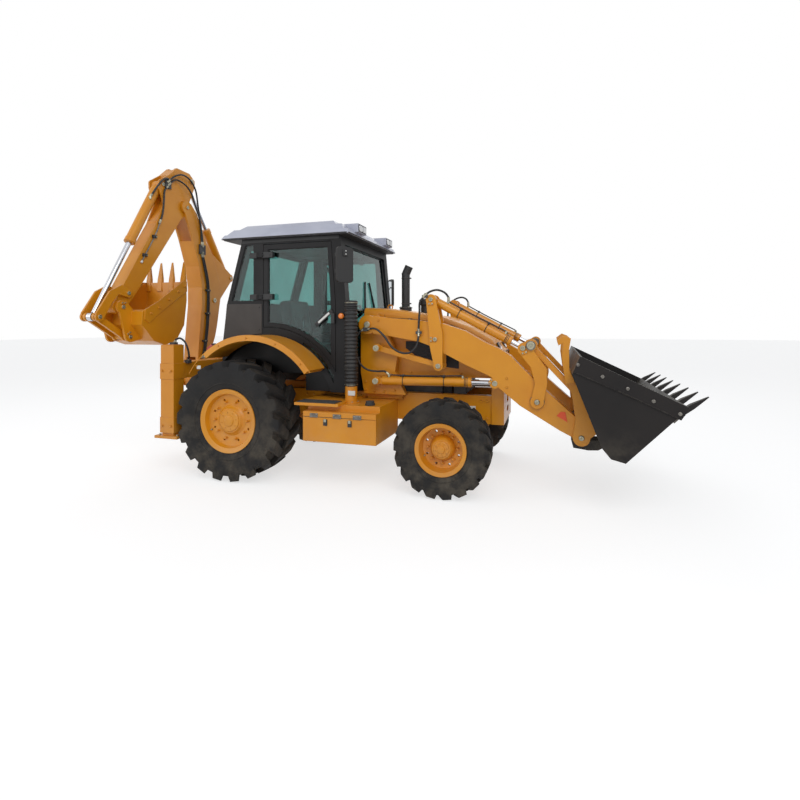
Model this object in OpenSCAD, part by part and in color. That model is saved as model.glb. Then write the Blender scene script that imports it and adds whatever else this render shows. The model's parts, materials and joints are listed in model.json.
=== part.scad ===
// Backhoe loader: rigid frame, four wheels, front loader with a parallel lift linkage,
// cab, and a side-shift backhoe that is folded and slewed to the right.
// Machine axes: x forward from the rear axle, y to the left, z up from the ground.
// Backhoe outlines are drawn as [out, up]: out is the distance from the slew axis.

/* [Wheels] */
// Distance between the rear and the front axle
wheelbase = 2330; // [2300:10:2360]
// Radius of a rear tyre over its lugs
rear_tyre_r = 655; // [640:5:665]
// Width of a rear tyre
rear_tyre_w = 480; // [460:5:490]
// Height of a rear tyre lug
rear_lug_h = 40; // [20:2:45]
// Sideways distance of a rear wheel's middle plane
rear_track_y = 934; // [930:2:950]
// Radius of a front tyre over its lugs
front_tyre_r = 482; // [470:2:486]
// Width of a front tyre
front_tyre_w = 320; // [300:5:326]
// Height of a front tyre lug
front_lug_h = 28; // [14:2:32]
// Sideways distance of a front wheel's middle plane
front_track_y = 873; // [870:2:890]
// Lugs on each half of a tyre
lug_count = 18; // [14:2:20]
// Bead radius of the rear tyre
rear_bead_r = 310; // [300:5:315]
// Bead radius of the front tyre
front_bead_r = 232; // [225:1:236]
// Diameter of the wheel spindles
spindle_d = 100; // [80:5:110]

/* [Frame] */
// Height of the frame rails
rail_h = 300; // [240:10:320]
// Underside of the frame rails above the ground
rail_z = 640; // [620:10:650]
// Thickness of a rail
rail_w = 100; // [60:10:110]
// Outer half width of the frame
frame_y = 420; // [410:5:425]
// Front end of the frame
frame_front = 2880; // [2860:5:2900]
// Thickness of a loader tower plate
tower_t = 80; // [40:5:85]
// Radius of the bore of the front towing jaw
tow_bore_r = 20; // [12:1:25]
// Height of the gap in the front towing jaw
tow_gap = 60; // [40:5:80]

/* [Stabilisers] */
// Half width over the stabiliser legs
leg_out_y = 1150; // [1140:5:1160]
// Sideways size of a stabiliser sleeve
leg_w = 155; // [145:5:160]
// Fore and aft size of a stabiliser sleeve
leg_l = 177; // [170:1:185]
// Wall of a stabiliser sleeve
leg_wall = 12; // [8:1:14]
// Height of the sleeve's top
sleeve_top = 1470; // [1440:10:1480]
// Height of the sleeve's lower end
sleeve_low = 480; // [478:1:500]
// Front face of the stabiliser frame
beam_front = -700; // [-702:1:-698]
// Thickness of a foot pad
pad_t = 30; // [20:2:36]

/* [Loader] */
// Loader arm pivot, ahead of the rear axle
arm_pivot_x = 1432; // [1425:1:1440]
// Height of the loader arm pivot
arm_pivot_z = 1702; // [1695:1:1710]
// Inner face of a loader arm
arm_in_y = 530; // [528:1:534]
// Width of a loader arm
arm_w = 120; // [116:1:124]
// Thickness of a lever plate
lever_t = 25; // [16:1:28]
// Radius of the loader's pins
loader_pin_r = 25; // [18:1:28]
// Barrel radius of the lift cylinders
lift_barrel_r = 47; // [40:1:50]
// Barrel radius of the tilt cylinders
tilt_barrel_r = 46; // [38:1:50]
// Rod radius of the loader cylinders
loader_rod_r = 25; // [18:1:28]

/* [Loader bucket] */
// Half width of the loader bucket
bucket_half_w = 1130; // [1120:5:1150]
// Thickness of the bucket's side plates
bucket_side_t = 20; // [12:1:24]
// Number of loader bucket teeth
loader_teeth = 8; // [5:1:9]
// Length of a loader bucket tooth
loader_tooth_l = 250; // [200:5:252]
// Width of a loader bucket tooth
loader_tooth_w = 66; // [40:2:80]

/* [Backhoe] */
// Slew axis behind the rear axle
kingpost_x = -1360; // [-1370:1:-1350]
// Half width over the boom's side plates
boom_half_w = 117; // [114:1:120]
// Thickness of a boom side plate
boom_plate_t = 28; // [20:1:30]
// Half width over the dipper
dipper_half_w = 82; // [76:1:83]
// Radius of the backhoe's pins
hoe_pin_r = 25; // [18:1:28]
// Barrel radius of the backhoe cylinders
hoe_barrel_r = 55; // [44:1:57]
// Rod radius of the backhoe cylinders
hoe_rod_r = 28; // [20:1:30]
// Half width of the digging bucket
dig_half_w = 305; // [290:5:320]
// Number of digging bucket teeth
dig_teeth = 4; // [3:1:5]
// Length of a digging bucket tooth
dig_tooth_l = 190; // [150:5:200]

/* [Cab] */
// Half width of the cab
cab_y = 750; // [740:5:760]
// Thickness of the cab's walls and doors
cab_wall = 50; // [36:1:54]
// Thickness of the window glass
glass_t = 6; // [4:1:8]
// Half width of the roof
roof_y = 800; // [785:5:815]
// Height of the cab floor
floor_z = 1000; // [995:1:1010]
// Distance of a mudguard's outside from the rear tyre's lugs
guard_gap = 240; // [225:5:250]
// Thickness of the mudguards
guard_t = 60; // [30:5:80]
// Radius of the steering wheel
steering_r = 190; // [170:5:200]

/* [Bonnet] */
// Half width of the bonnet
hood_y = 420; // [405:5:430]
// Thickness of the bonnet's panels
hood_t = 14; // [8:1:20]
// Radius of the exhaust stack
exhaust_r = 48; // [36:2:56]

/* [Hidden] */
$fn = 48;

paint = [0.83, 0.53, 0.12];
dark_paint = [0.13, 0.12, 0.12];
black = [0.06, 0.06, 0.065];
steel = [0.75, 0.76, 0.78];
rubber = [0.09, 0.09, 0.09];
grey = [0.55, 0.56, 0.6];
glass = [0.5, 0.75, 0.75, 0.4];

// Running clearance at pins, and side clearance between moving plates
pin_gap = 0.3;
side_gap = 5;

// Loader pins, forward and up
arm_pin = [arm_pivot_x, arm_pivot_z];
link_pin = arm_pin + [103, -257];
lift_base = arm_pin + [95, -615];
lever_pin = arm_pin + [768, -155];
lever_low = arm_pin + [799, -433];
tilt_base = arm_pin + [721, 261];
lift_pin = arm_pin + [1378, -598];
tilt_pin = arm_pin + [1657, -234];
front_pin = arm_pin + [1793, -762];
link_top = arm_pin + [1734, -207.5];
bucket_pin = arm_pin + [2203, -1087];
link_end = arm_pin + [2133.5, -640];
arm_out_y = arm_in_y + arm_w;
arm_y = arm_in_y + arm_w / 2;
tower_y = arm_in_y - 10;
// Lever plates stand beside the arm on both faces
lever_gap = 10;
lever_out = arm_out_y + lever_gap;
lever_in = arm_in_y - lever_gap - lever_t;
eye_half = 25;
// Bushings that carry the lever pins and the bucket pins in the arms
lever_bush_r = 70;
bucket_bush_r = 58;
// Shaft that joins the two bucket pins between the arms
bucket_shaft_r = 70;
// Short pins between the front levers and the bucket links, with their heads
link_pin_r = 40;
link_head_r = 46;
link_head_t = 28;
// Half width of the drums that stand between two lever plates
link_half = arm_w / 2 + lever_gap - 8;

// Backhoe pins, out from the slew axis and up
boom_pin = [120, 980];
dipper_pin = [327, 3243];
boom_cyl_base = [-160, 1200];
boom_cyl_pin = [-200, 2050];
dipper_cyl_base = [-590, 2400];
dipper_cyl_pin = [212, 3618];
bucket_cyl_base = [700, 3450];
idler_pin = [1231, 2058];
idler_end = [1595, 1784];
nose_pin = [1339, 1897];
hoe_link_pin = [1245, 1564];

// Row origin under the middle of the whole machine's box
bucket_tip_x = arm_pin.x + 3183;
box_mid_x = (bucket_tip_x + kingpost_x - dig_half_w - 6) / 2;
box_mid_y = (rear_track_y + rear_tyre_w / 2 - idler_end.x - 60) / 2;

// Middle plate of a rear rim, outwards from the tyre's middle plane
rear_dish_y = 100;
kingpin_y = 700;
kingpin_r = 22;
guard_centre = [250, rear_tyre_r + 35];
guard_r = rear_tyre_r + guard_gap;
door_arc_r = guard_r + 85;
door_rear_x = 190;
door_front_x = 1060;
hinge_x = 150;
hinge_y = cab_y + 40;
beam_rear = beam_front - leg_l;
// Joint line between two pieces that are bolted together
seam = 0.4;
rail_out_y = frame_y - 20;
frame_plate_t = 39;
nose_l = 130;
saddle_top = rear_tyre_r + 108;
beam_low = [470, 684];
beam_high = [1086, 1267];

module machine() {
  translate([-box_mid_x, -box_mid_y, 0]) children();
}

module both_sides() {
  children();
  mirror([0, 1, 0]) children();
}

// Left-hand pieces are drawn at positive y, side is 1 for left and -1 for right
module one_side(side) {
  if (side > 0) children();
  else mirror([0, 1, 0]) children();
}

// Backhoe frame: x out from the slew axis, y across the boom, slewed to the right
module hoe() {
  translate([kingpost_x, 0, 0]) rotate([0, 0, -90]) children();
}

// Extrude an outline drawn as [forward, up] between two sideways places
module slab(y0, y1) {
  translate([0, y1, 0]) rotate([90, 0, 0]) linear_extrude(y1 - y0) children();
}

module mid_slab(w) {
  slab(-w / 2, w / 2) children();
}

// Round bar across the machine at a point [forward, up]
module cross_bar(p, r, y0, y1) {
  translate([p.x, y0, p.y]) rotate([-90, 0, 0]) cylinder(r = r, h = y1 - y0);
}

// Straight flat link between two points, square ended
module strip(p, q, w) {
  d = (q - p) / norm(q - p);
  n = [-d.y, d.x] * w / 2;
  polygon([p + n, q + n, q - n, p - n]);
}

module boss(p, r) {
  translate(p) circle(r);
}

module eye_link(p, q, rp, rq, w) {
  strip(p, q, w);
  boss(p, rp);
  boss(q, rq);
}

// Round bar from p towards q, from distance a to distance b, at sideways place y
module tube_along(p, q, a, b, r, y) {
  d = (q - p) / norm(q - p);
  angle = atan2(d.y, d.x);
  translate([p.x, y, p.y]) rotate([0, -angle, 0]) translate([a, 0, 0])
    rotate([0, 90, 0]) cylinder(r = r, h = b - a);
}

// Cylinder barrel: base eye with a slim neck, tube, gland ring and a bore for the rod
module barrel(p, q, neck, barrel_l, r, rod_r, pin_r, eye_w, y) {
  difference() {
    union() {
      slab(y - eye_w / 2, y + eye_w / 2) strip(p, p + (q - p) / norm(q - p) * (neck + 5), 60);
      tube_along(p, q, neck, barrel_l, r, y);
      tube_along(p, q, barrel_l - 60, barrel_l - 6, r + 5, y);
      cross_bar(p, pin_r + 20, y - eye_w / 2, y + eye_w / 2);
    }
    cross_bar(p, pin_r + pin_gap, y - r - 20, y + r + 20);
    tube_along(p, q, neck + 40, barrel_l + 2, rod_r + pin_gap, y);
  }
}

// Cylinder rod from inside the barrel to its eye, with the eye's own piece of pin
module rod(p, q, from, rod_r, eye_r, eye_w, y) {
  l = norm(q - p);
  tube_along(p, q, from, l - eye_r + 3, rod_r, y);
  cross_bar(q, eye_r, y - eye_w / 2, y + eye_w / 2);
}

// Bucket tooth along x: side outline met with a plan outline
module tooth(l, w, h) {
  root = l * 0.42;
  intersection() {
    mid_slab(w) polygon([[0, -h], [0, h * 0.6], [root, h * 0.5], [l, -h * 0.55], [l, -h * 0.8],
      [root, -h * 1.1]]);
    translate([0, 0, -2 * h]) linear_extrude(4 * h)
      polygon([[0, -w / 2], [root, -w * 0.42], [l, -w * 0.14], [l, w * 0.14], [root, w * 0.42],
        [0, w / 2]]);
  }
}

// Tyre: rings of an outline with a rim seat, walls and two staggered rows of slanted lugs
tyre_steps = [0, 0.1, 0.5, 0.6];
function tyre_ring(r, w, bead_r, lug, left_high, right_high) = [
  [-0.36 * w, bead_r], [-0.5 * w, (bead_r + r) / 2], [-0.475 * w, r - 1.9 * lug],
  [-0.44 * w, r - (left_high ? 4 : lug)], [-0.05 * w, r - (left_high ? 0 : lug)],
  [0.05 * w, r - (right_high ? 0 : lug)], [0.44 * w, r - (right_high ? 4 : lug)],
  [0.475 * w, r - 1.9 * lug], [0.5 * w, (bead_r + r) / 2], [0.36 * w, bead_r]];
function lug_skew(y, w, slant) = slant * (0.5 - abs(y) / w);

module tyre(r, w, bead_r, lug, slant) {
  pitch = 360 / lug_count;
  steps = len(tyre_steps);
  rings = lug_count * steps;
  count = 10;
  points = [for (i = [0:rings - 1])
    let (k = i % steps, left_high = k == 1 || k == 2, right_high = k == 3 || k == 0)
    for (q = tyre_ring(r, w, bead_r, lug, left_high, right_high))
      let (seat = q.y < (bead_r + r) / 2 - 1 ? 0 : 1,
        a = -90 + pitch * (floor(i / steps) + tyre_steps[k]) + seat * lug_skew(q.x, w, slant))
      [q.y * cos(a), q.x, q.y * sin(a)]];
  faces = [for (i = [0:rings - 1]) for (j = [0:count - 1])
    let (a = i * count + j, b = i * count + (j + 1) % count,
      c = ((i + 1) % rings) * count + (j + 1) % count, d = ((i + 1) % rings) * count + j)
    for (f = [[a, c, b], [a, d, c]]) f];
  polyhedron(points, faces);
}

// Rim: outline as [radius, sideways] revolved round the wheel's axis, with a dished middle.
// The flanges lean outwards with the tyre's walls
module rim(r, w, bead_r, flange_h, dish_y, hub_r, hub_out, stud_r, studs) {
  bore_r = spindle_d / 2 + pin_gap;
  barrel_t = 14;
  flange_t = 20;
  seat = 0.36 * w + 1.2;
  lean = 0.14 * w / ((r - bead_r) / 2);
  tip = seat + lean * (flange_h + 2);
  // The tyre's bead is a polygon, so the rim's seat lies inside its flats
  seat_r = bead_r * cos(0.2 * 360 / lug_count) - 0.3;
  rotate([-90, 0, 0]) difference() {
    rotate_extrude() polygon([
      [bead_r - barrel_t, -seat - flange_t], [bead_r + flange_h, -tip - flange_t],
      [bead_r + flange_h, -tip], [seat_r, -seat], [seat_r, seat],
      [bead_r + flange_h, tip], [bead_r + flange_h, tip + flange_t],
      [bead_r - barrel_t, seat + flange_t],
      [bead_r - barrel_t - 16, dish_y + 40], [hub_r + 20, dish_y + 26], [hub_r, hub_out - 24],
      [hub_r - 18, hub_out], [0, hub_out], [0, dish_y - 2],
      [bead_r - barrel_t - 16, dish_y - 2], [bead_r - barrel_t, dish_y - 30]]);
    translate([0, 0, dish_y - 120]) cylinder(r = bore_r, h = 150);
    for (i = [0:7]) rotate([0, 0, i * 45 + 22.5])
      translate([(hub_r + bead_r) / 2 + 2, 0, dish_y - 60]) cylinder(r = 13, h = 140);
  }
  for (i = [0:studs - 1]) rotate([0, i * 360 / studs, 0]) translate([stud_r, dish_y + 20, 0])
    rotate([-90, 0, 0]) cylinder(r = 14, h = 36, $fn = 6);
}

// Two rails with their cross members
module chassis() {
  rail_rear = beam_front + frame_plate_t + seam;
  rail_front = frame_front - nose_l - seam;
  saddle_half = 125;
  color(paint) machine() {
    both_sides() difference() {
      translate([rail_rear, rail_out_y - rail_w, rail_z])
        cube([rail_front - rail_rear, rail_w, rail_h]);
      translate([-saddle_half, 0, rail_z - 1])
        cube([2 * saddle_half, frame_y, saddle_top + seam - rail_z + 1]);
    }
    for (x = [-600, 560, wheelbase + 150]) translate([x, -rail_out_y + 20, rail_z + 70])
      cube([60, 2 * rail_out_y - 40, 85]);
    axle_carrier();
  }
}

module stabiliser_frame() {
  color(paint) machine() {
    both_sides() stabiliser_sleeve();
    stabiliser_beams();
  }
}

module towers() {
  color(paint) machine() both_sides() tower();
}

module tower() {
  tower_front = arm_pin.x + 398;
  slab(tower_y - tower_t, tower_y) difference() {
    union() {
      polygon([[arm_pin.x - 90, 930], [arm_pin.x - 132, 1160], [arm_pin.x - 132, 1690],
        [arm_pin.x - 100, 1800], [arm_pin.x + 60, 1820], [arm_pin.x + 240, 1480],
        [arm_pin.x + 300, 1340], [arm_pin.x + 272, 1180], [tower_front, 930]]);
      boss(arm_pin, 100);
    }
  }
  for (p = [arm_pin, link_pin, lift_base]) {
    cross_bar(p, loader_pin_r, tower_y - 10, arm_out_y + 16);
    cross_bar(p, loader_pin_r + 14, arm_out_y + 2, arm_out_y + 18);
  }
  cross_bar(link_pin, 44, tower_y - 10, arm_y - eye_half - 2);
  cross_bar(lift_base, 46, tower_y - 10, arm_y - 42);
  translate([arm_pin.x - 80, rail_out_y + seam, rail_z + 230])
    cube([tower_front - arm_pin.x + 20, tower_y - tower_t + 1 - rail_out_y, 130]);
}

module stabiliser_sleeve() {
  difference() {
    union() {
      translate([beam_rear, leg_out_y - leg_w, sleeve_low])
        cube([leg_l, leg_w, sleeve_top - sleeve_low]);
      for (z = [beam_low.x + 12, beam_high.x])
        translate([beam_rear - 6, leg_out_y - leg_w, z]) cube([leg_l + 12, leg_w + 6, 176]);
    }
    translate([beam_rear + leg_wall, leg_out_y - leg_w + leg_wall, sleeve_low - 20])
      cube([leg_l - 2 * leg_wall, leg_w - 2 * leg_wall, sleeve_top - sleeve_low]);
  }
}

module stabiliser_beams() {
  for (z = [beam_low, beam_high]) translate([beam_rear, -leg_out_y + leg_w - 1, z.x])
    cube([leg_l, 2 * (leg_out_y - leg_w) + 2, z.y - z.x]);
  for (y = [-frame_y, frame_y - 60]) translate([beam_rear + 30, y, beam_low.y - 1])
    cube([leg_l - 60, 60, beam_high.x - beam_low.y + 2]);
  translate([beam_front - 1, -frame_y, rail_z - 20])
    cube([frame_plate_t + 1, 2 * frame_y, rail_h + 20]);
}

// Front cross member with the towing jaw
module front_nose() {
  jaw_low = rail_z + 90;
  jaw_half = 90;
  jaw_l = 90;
  lip_t = 40;
  color(paint) machine() difference() {
    translate([frame_front - nose_l, -frame_y, rail_z])
      cube([nose_l, 2 * frame_y, hood_low - seam - rail_z]);
    for (z = [[jaw_low, tow_gap], [jaw_low + tow_gap + lip_t, hood_low]])
      translate([frame_front - jaw_l, -jaw_half, z.x]) cube([jaw_l + 10, 2 * jaw_half, z.y]);
    translate([frame_front - jaw_l / 2, 0, rail_z - 1]) cylinder(r = tow_bore_r, h = 300);
  }
}

// Hanger under the rails that carries the front axle's pivot
module axle_carrier() {
  for (x = [wheelbase - 150, wheelbase + 102]) difference() {
    translate([x, -180, front_tyre_r - 70]) cube([48, 360, rail_z - front_tyre_r + 200]);
    translate([x - 1, 0, front_tyre_r]) rotate([0, 90, 0]) cylinder(r = 36 + pin_gap, h = 50);
  }
  for (x = [wheelbase - 150, wheelbase + 102])
    translate([x, -frame_y + 40, rail_z + 20]) cube([48, 2 * frame_y - 80, 110]);
}

// Bonnet sections: forward, height of the top and how much narrower it is
hood_sections = [[1300.4, 1897, 0], [1635, 1881, 0], [2200, 1795, 0], [2519, 1675, 10],
  [2754, 1538, 24], [2862, 1400, 40]];
hood_low = 1128;
hood_corners = [0, 22.5, 45, 67.5, 90];

function hood_ring(s, shrink, low) =
  let (half = hood_y - s.z - shrink, top = s.y - shrink, r = 70)
  concat([[s.x, half, low]],
    [for (a = hood_corners) [s.x, half - r + r * cos(a), top - r + r * sin(a)]],
    [for (i = [4:-1:0]) let (a = hood_corners[i])
      [s.x, -half + r - r * cos(a), top - r + r * sin(a)]],
    [[s.x, -half, low]]);

// Closed skin over rings of equal length that run along +x
module loft(rings) {
  n = len(rings[0]);
  last = (len(rings) - 1) * n;
  points = [for (ring = rings) for (p = ring) p];
  sides = [for (i = [0:len(rings) - 2]) for (j = [0:n - 1])
    let (a = i * n + j, b = i * n + (j + 1) % n)
    for (f = [[b, a, a + n], [b + n, b, a + n]]) f];
  polyhedron(points, concat(sides, [[for (j = [0:n - 1]) j]], [[for (j = [n - 1:-1:0]) last + j]]));
}

module hood() {
  inner = [for (i = [0:len(hood_sections) - 1]) hood_sections[i]
    + [i == 0 ? -20 : i == len(hood_sections) - 1 ? -hood_t : 0, 0, 0]];
  color(paint) machine() difference() {
    loft([for (s = hood_sections) hood_ring(s, 0, hood_low)]);
    loft([for (s = inner) hood_ring(s, hood_t, hood_low - 20)]);
    for (side = [-1, 1]) for (i = [0:11])
      translate([1900 + i * 34, side * hood_y - 40, 1330]) cube([14, 80, 70]);
    for (i = [0:8]) translate([2820, -300, 1160 + i * 26]) cube([80, 600, 13]);
    translate([stack_place.x, stack_place.y, 1700]) cylinder(r = exhaust_r + 22.4, h = 300);
    translate([intake_place.x, intake_place.y, 1700]) cylinder(r = 70.4, h = 300);
  }
}

module engine() {
  color(grey) machine() {
    translate([1420, -260, 800]) cube([760, 520, 900]);
    translate([740, -190, 580]) cube([681, 380, 370]);
    translate([2179, -170, 880]) cube([90, 340, 620]);
    translate([wheelbase, -330, rail_z + rail_h + seam]) cube([130, 660, 600]);
    for (side = [-1, 1]) translate([1480, side * 277.3 - 22.3, rail_z + 170])
      cube([600, 44.6, 90]);
  }
}

stack_place = [1700, -100, 1830];
intake_place = [1900, 110, 1790];

module exhaust() {
  stack_l = 470;
  color(black) machine() {
    translate(stack_place) difference() {
      union() {
        cylinder(r = exhaust_r, h = stack_l);
        translate([0, 0, stack_l]) rotate([0, 25, 0]) translate([0, 0, -20])
          cylinder(r = exhaust_r, h = 120);
        cylinder(r = exhaust_r + 22, h = 70);
      }
      translate([0, 0, 60]) cylinder(r = exhaust_r - 6, h = stack_l - 60);
      translate([0, 0, stack_l]) rotate([0, 25, 0]) translate([0, 0, -20])
        cylinder(r = exhaust_r - 6, h = 200);
    }
    translate(intake_place) {
      cylinder(r = 70, h = 150);
      translate([0, 0, 149]) cylinder(r = 90, h = 61);
    }
  }
}

// Cab outlines drawn as [forward, up]
cab_outline = [[-365, 1150], [-365, 1440], [-300, 1945], [-90, 2690], [1150, 2690], [1222, 1900],
  [1280, 1250], [1290, floor_z - 40], [700, floor_z - 40], [700, 1150]];
cab_inside = [[-315, 1200], [-315, 1440], [-250, 1945], [-52, 2640], [1102, 2640], [1172, 1895],
  [1230, 1245], [1240, floor_z], [750, floor_z], [750, 1200]];
cab_arch_y = 684;

module arch(r) {
  translate(guard_centre) circle(r, $fn = 240);
}

module door_shape(gap) {
  difference() {
    polygon([[door_rear_x + gap, 1500], [door_rear_x + gap, 2622 - gap],
      [door_front_x - 14 - gap, 2622 - gap], [door_front_x + 40 - gap, 1940],
      [door_front_x + 40 - gap, 1100], [900, 1100]]);
    arch(door_arc_r + gap);
  }
}

module door_light(inset) {
  difference() {
    polygon([[door_rear_x + 60 - inset, 1500], [door_rear_x + 60 - inset, 2560 + inset],
      [door_front_x - 60 + inset, 2560 + inset], [door_front_x - 20 + inset, 1940],
      [door_front_x - 20 + inset, 1100], [900, 1100]]);
    arch(door_arc_r + 56 - inset);
  }
}

module quarter_light(inset) {
  polygon([[-236 - inset, 1975 - inset], [-50 - inset, 2620 + inset], [60 + inset, 2620 + inset],
    [60 + inset, 1975 - inset]]);
}

module sill_light(inset) {
  intersection() {
    polygon([[700 - inset, 1040 - inset], [700 - inset, 1500 + inset], [1075 + inset, 1300 + inset],
      [1075 + inset, 1040 - inset]]);
    difference() {
      arch(door_arc_r - 42 + inset);
      arch(guard_r + 6 - inset);
    }
  }
}

module cab_frame() {
  color(black) machine() difference() {
    slab(-cab_y, cab_y) polygon(cab_outline);
    slab(-cab_arch_y + cab_wall, cab_arch_y - cab_wall) polygon(cab_inside);
    slab(-cab_y + cab_wall, cab_y - cab_wall) difference() {
      polygon(cab_inside);
      arch(guard_r + 20);
    }
    both_sides() {
      slab(cab_arch_y, cab_y + 1) arch(guard_r - guard_t - 2);
      slab(cab_y - cab_wall - 1, cab_y + 1) {
        door_shape(0);
        quarter_light(0);
        sill_light(0);
      }
    }
    translate([-500, -600, 1975]) cube([480, 1200, 620]);
    translate([1000, -640, 1320]) cube([400, 1280, 1270]);
  }
  color(black) machine() both_sides() {
    for (x = [820, 1180]) translate([x, 310, rail_z + rail_h + seam]) cube([90, 80, 20]);
    translate([-340, 310, rail_z + rail_h + seam]) cube([90, 80, 210]);
  }
}

module cab_windows() {
  color(glass) machine() {
    for (side = [-1, 1]) {
      y = side > 0 ? cab_y - 20 : -cab_y + 20 - glass_t;
      slab(y, y + glass_t) quarter_light(-0.4);
      slab(y, y + glass_t) sill_light(-0.4);
    }
    windscreen();
    rear_window();
  }
}

module windscreen() {
  slab(-639.6, 639.6) intersection() {
    polygon([[1188, 1895], [1112, 2640], [1112 + glass_t, 2640], [1188 + glass_t, 1895],
      [1246 + glass_t, 1250], [1246, 1250]]);
    translate([900, 1320.4]) square([500, 1269.2]);
  }
}

module rear_window() {
  slab(-599.6, 599.6) intersection() {
    polygon([[-285, 1900], [-70, 2660], [-70 + glass_t, 2660], [-285 + glass_t, 1900]]);
    translate([-500, 1975.4]) square([600, 619.2]);
  }
}

// Roof layers: rear and front end, set-in from the roof's sides, low and high face, and how
// far the layer narrows on its way up
roof_layers = [[-340, 1266, 0, 2690.4, 2744, 34], [-300, 1190, 52, 2740, 2812, 66],
  [-210, 1060, 140, 2806, 2872, 90]];

module roof() {
  pod = [215, 240, 96];
  color(grey) machine() {
    for (l = roof_layers) hull() for (top = [0, 1]) {
      in = top * l[5];
      translate([l.x + in, -roof_y + l.z + in / 2, top * (l[4] - 12) + (1 - top) * l[3]])
        cube([l.y - l.x - 1.6 * in, 2 * (roof_y - l.z) - in, 12]);
    }
    for (y = [-464, 464]) translate([1080, y - pod.y / 2, 2735]) cube(pod);
  }
}

// Mudguards over the rear wheels
module fenders() {
  color(paint) machine() both_sides() {
    slab(cab_y + seam, rear_track_y + rear_tyre_w / 2 - 54) intersection() {
      difference() {
        arch(guard_r);
        arch(guard_r - guard_t);
      }
      polygon([guard_centre, guard_centre + [-900, 1065], guard_centre + [-300, 1800],
        guard_centre + [900, 1700], guard_centre + [1300, 970]]);
    }
  }
}

module interior() {
  seat_x = 420;
  rear_floor = 1200.4;
  wheel_place = [1090, 0, floor_z + 560];
  color(black) machine() {
    translate([760, -560, floor_z + seam]) cube([320, 1120, 12]);
    slab(-200, 200) polygon([[1060, floor_z + 2], [1215, floor_z + 2], [1215, 1240], [1150, 1690],
      [1060, 1700], [1050, 1600]]);
    translate([150, -520, rear_floor]) cube([470, 1040, 20]);
    translate([seat_x - 130, -180, rear_floor]) cube([260, 360, 140]);
    translate([seat_x - 240, -250, 1330]) cube([480, 500, 110]);
    translate([seat_x - 245, -240, 1425]) rotate([0, -8, 0]) cube([110, 480, 560]);
    for (side = [-1, 1]) translate([180, side * 420 - 100, rear_floor]) cube([420, 200, 360]);
    translate(wheel_place) rotate([0, -32, 0]) cylinder(r = 32, h = 260);
    translate(wheel_place) rotate([0, -32, 0]) translate([0, 0, 258]) difference() {
      cylinder(r = steering_r, h = 26);
      for (i = [0:2]) rotate([0, 0, i * 120]) intersection() {
        translate([0, 0, -1]) cylinder(r = steering_r - 26, h = 28);
        translate([34, 12, -1]) linear_extrude(28)
          polygon([[0, 0], [240, 0], [-120, 208], [-16, 28]]);
      }
    }
  }
}

module tanks() {
  rear = 894;
  front = wheelbase - front_tyre_r - 148;
  low = 500;
  inner = rail_out_y + seam;
  // Two levels: half width and top
  levels = [[1100, 806], [985, 866]];
  color(paint) machine() both_sides() {
    difference() {
      for (level = levels) translate([rear, inner, low])
        cube([front - rear, level.x - inner, level.y - low]);
      translate([front, levels[0].x, low - 1]) rotate([0, 0, 135]) translate([0, -200, 0])
        cube([400, 200, 400]);
      translate([rear - 1, levels[0].x - 8, low + 250]) cube([front - rear + 2, 10, 5]);
    }
    translate([rear - 114, inner, levels[1].y - 6]) cube([500, 1080 - inner, 30]);
  }
}

module lamps_mirrors() {
  // Each mirror is set for the driver, the left one lower and further back, clear of the doors
  bracket_x = door_front_x + 45;
  for (m = [[-1, 1270, 2330], [1, 1170, 2153]]) color(black) machine() one_side(m.x) {
    translate([m.y, 900, m.z]) rotate([0, 0, 35]) translate([-20, -100, -190])
      cube([40, 200, 380]);
    translate([bracket_x, cab_y + seam, m.z + 110]) cube([m.y - bracket_x + 20, 150, 30]);
  }
  color(black) machine() both_sides() {
    translate([1175, cab_y + seam, 1795]) rotate([-90, 0, 0]) cylinder(r = 34, h = 50);
    slab(960, 1040) difference() {
      polygon([[-350, 1365], [-350, 1440], [-290, 1490], [-240, 1440], [-262, 1360]]);
      arch(guard_r + seam);
    }
  }
}

// Bulged housing round an axle's middle: outline as [radius, sideways]
module housing(r, half) {
  rotate([90, 0, 0]) rotate_extrude() polygon([[0, -half], [r * 0.62, -half * 0.94],
    [r * 0.92, -half * 0.5], [r, 0], [r * 0.92, half * 0.5], [r * 0.62, half * 0.94], [0, half]]);
}

module rear_axle() {
  hub_y = rear_track_y - 210;
  flange_l = rear_dish_y - 2 - 5 + 210;
  color(paint) machine() translate([0, 0, rear_tyre_r]) {
    rotate([90, 0, 0]) cylinder(r = 104, h = 2 * hub_y + 20, center = true);
    for (side = [-1, 1]) rotate([side * -90, 0, 0]) {
      translate([0, 0, hub_y]) cylinder(r = 170, h = flange_l);
      translate([0, 0, hub_y + flange_l - 1]) cylinder(r = spindle_d / 2, h = 34);
    }
    housing(215, 230);
    for (side = [-1, 1]) translate([-118, side * 350 - 70, -40])
      cube([236, 140, saddle_top - rear_tyre_r + 40]);
    rotate([0, 90, 0]) cylinder(r = 45, h = 739);
  }
}

module front_axle() {
  color(paint) machine() translate([wheelbase, 0, front_tyre_r]) {
    difference() {
      union() {
        translate([-75, -kingpin_y + 50, -70]) cube([150, 2 * kingpin_y - 100, 140]);
        translate([0, 60, 0]) housing(96, 150);
        for (side = [-1, 1]) translate([0, side * kingpin_y, -75]) cylinder(r = 62, h = 150);
      }
      for (side = [-1, 1]) translate([0, side * kingpin_y, -100])
        cylinder(r = kingpin_r + pin_gap, h = 200);
    }
    rotate([0, 90, 0]) cylinder(r = 36, h = 310, center = true);
  }
}

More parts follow.
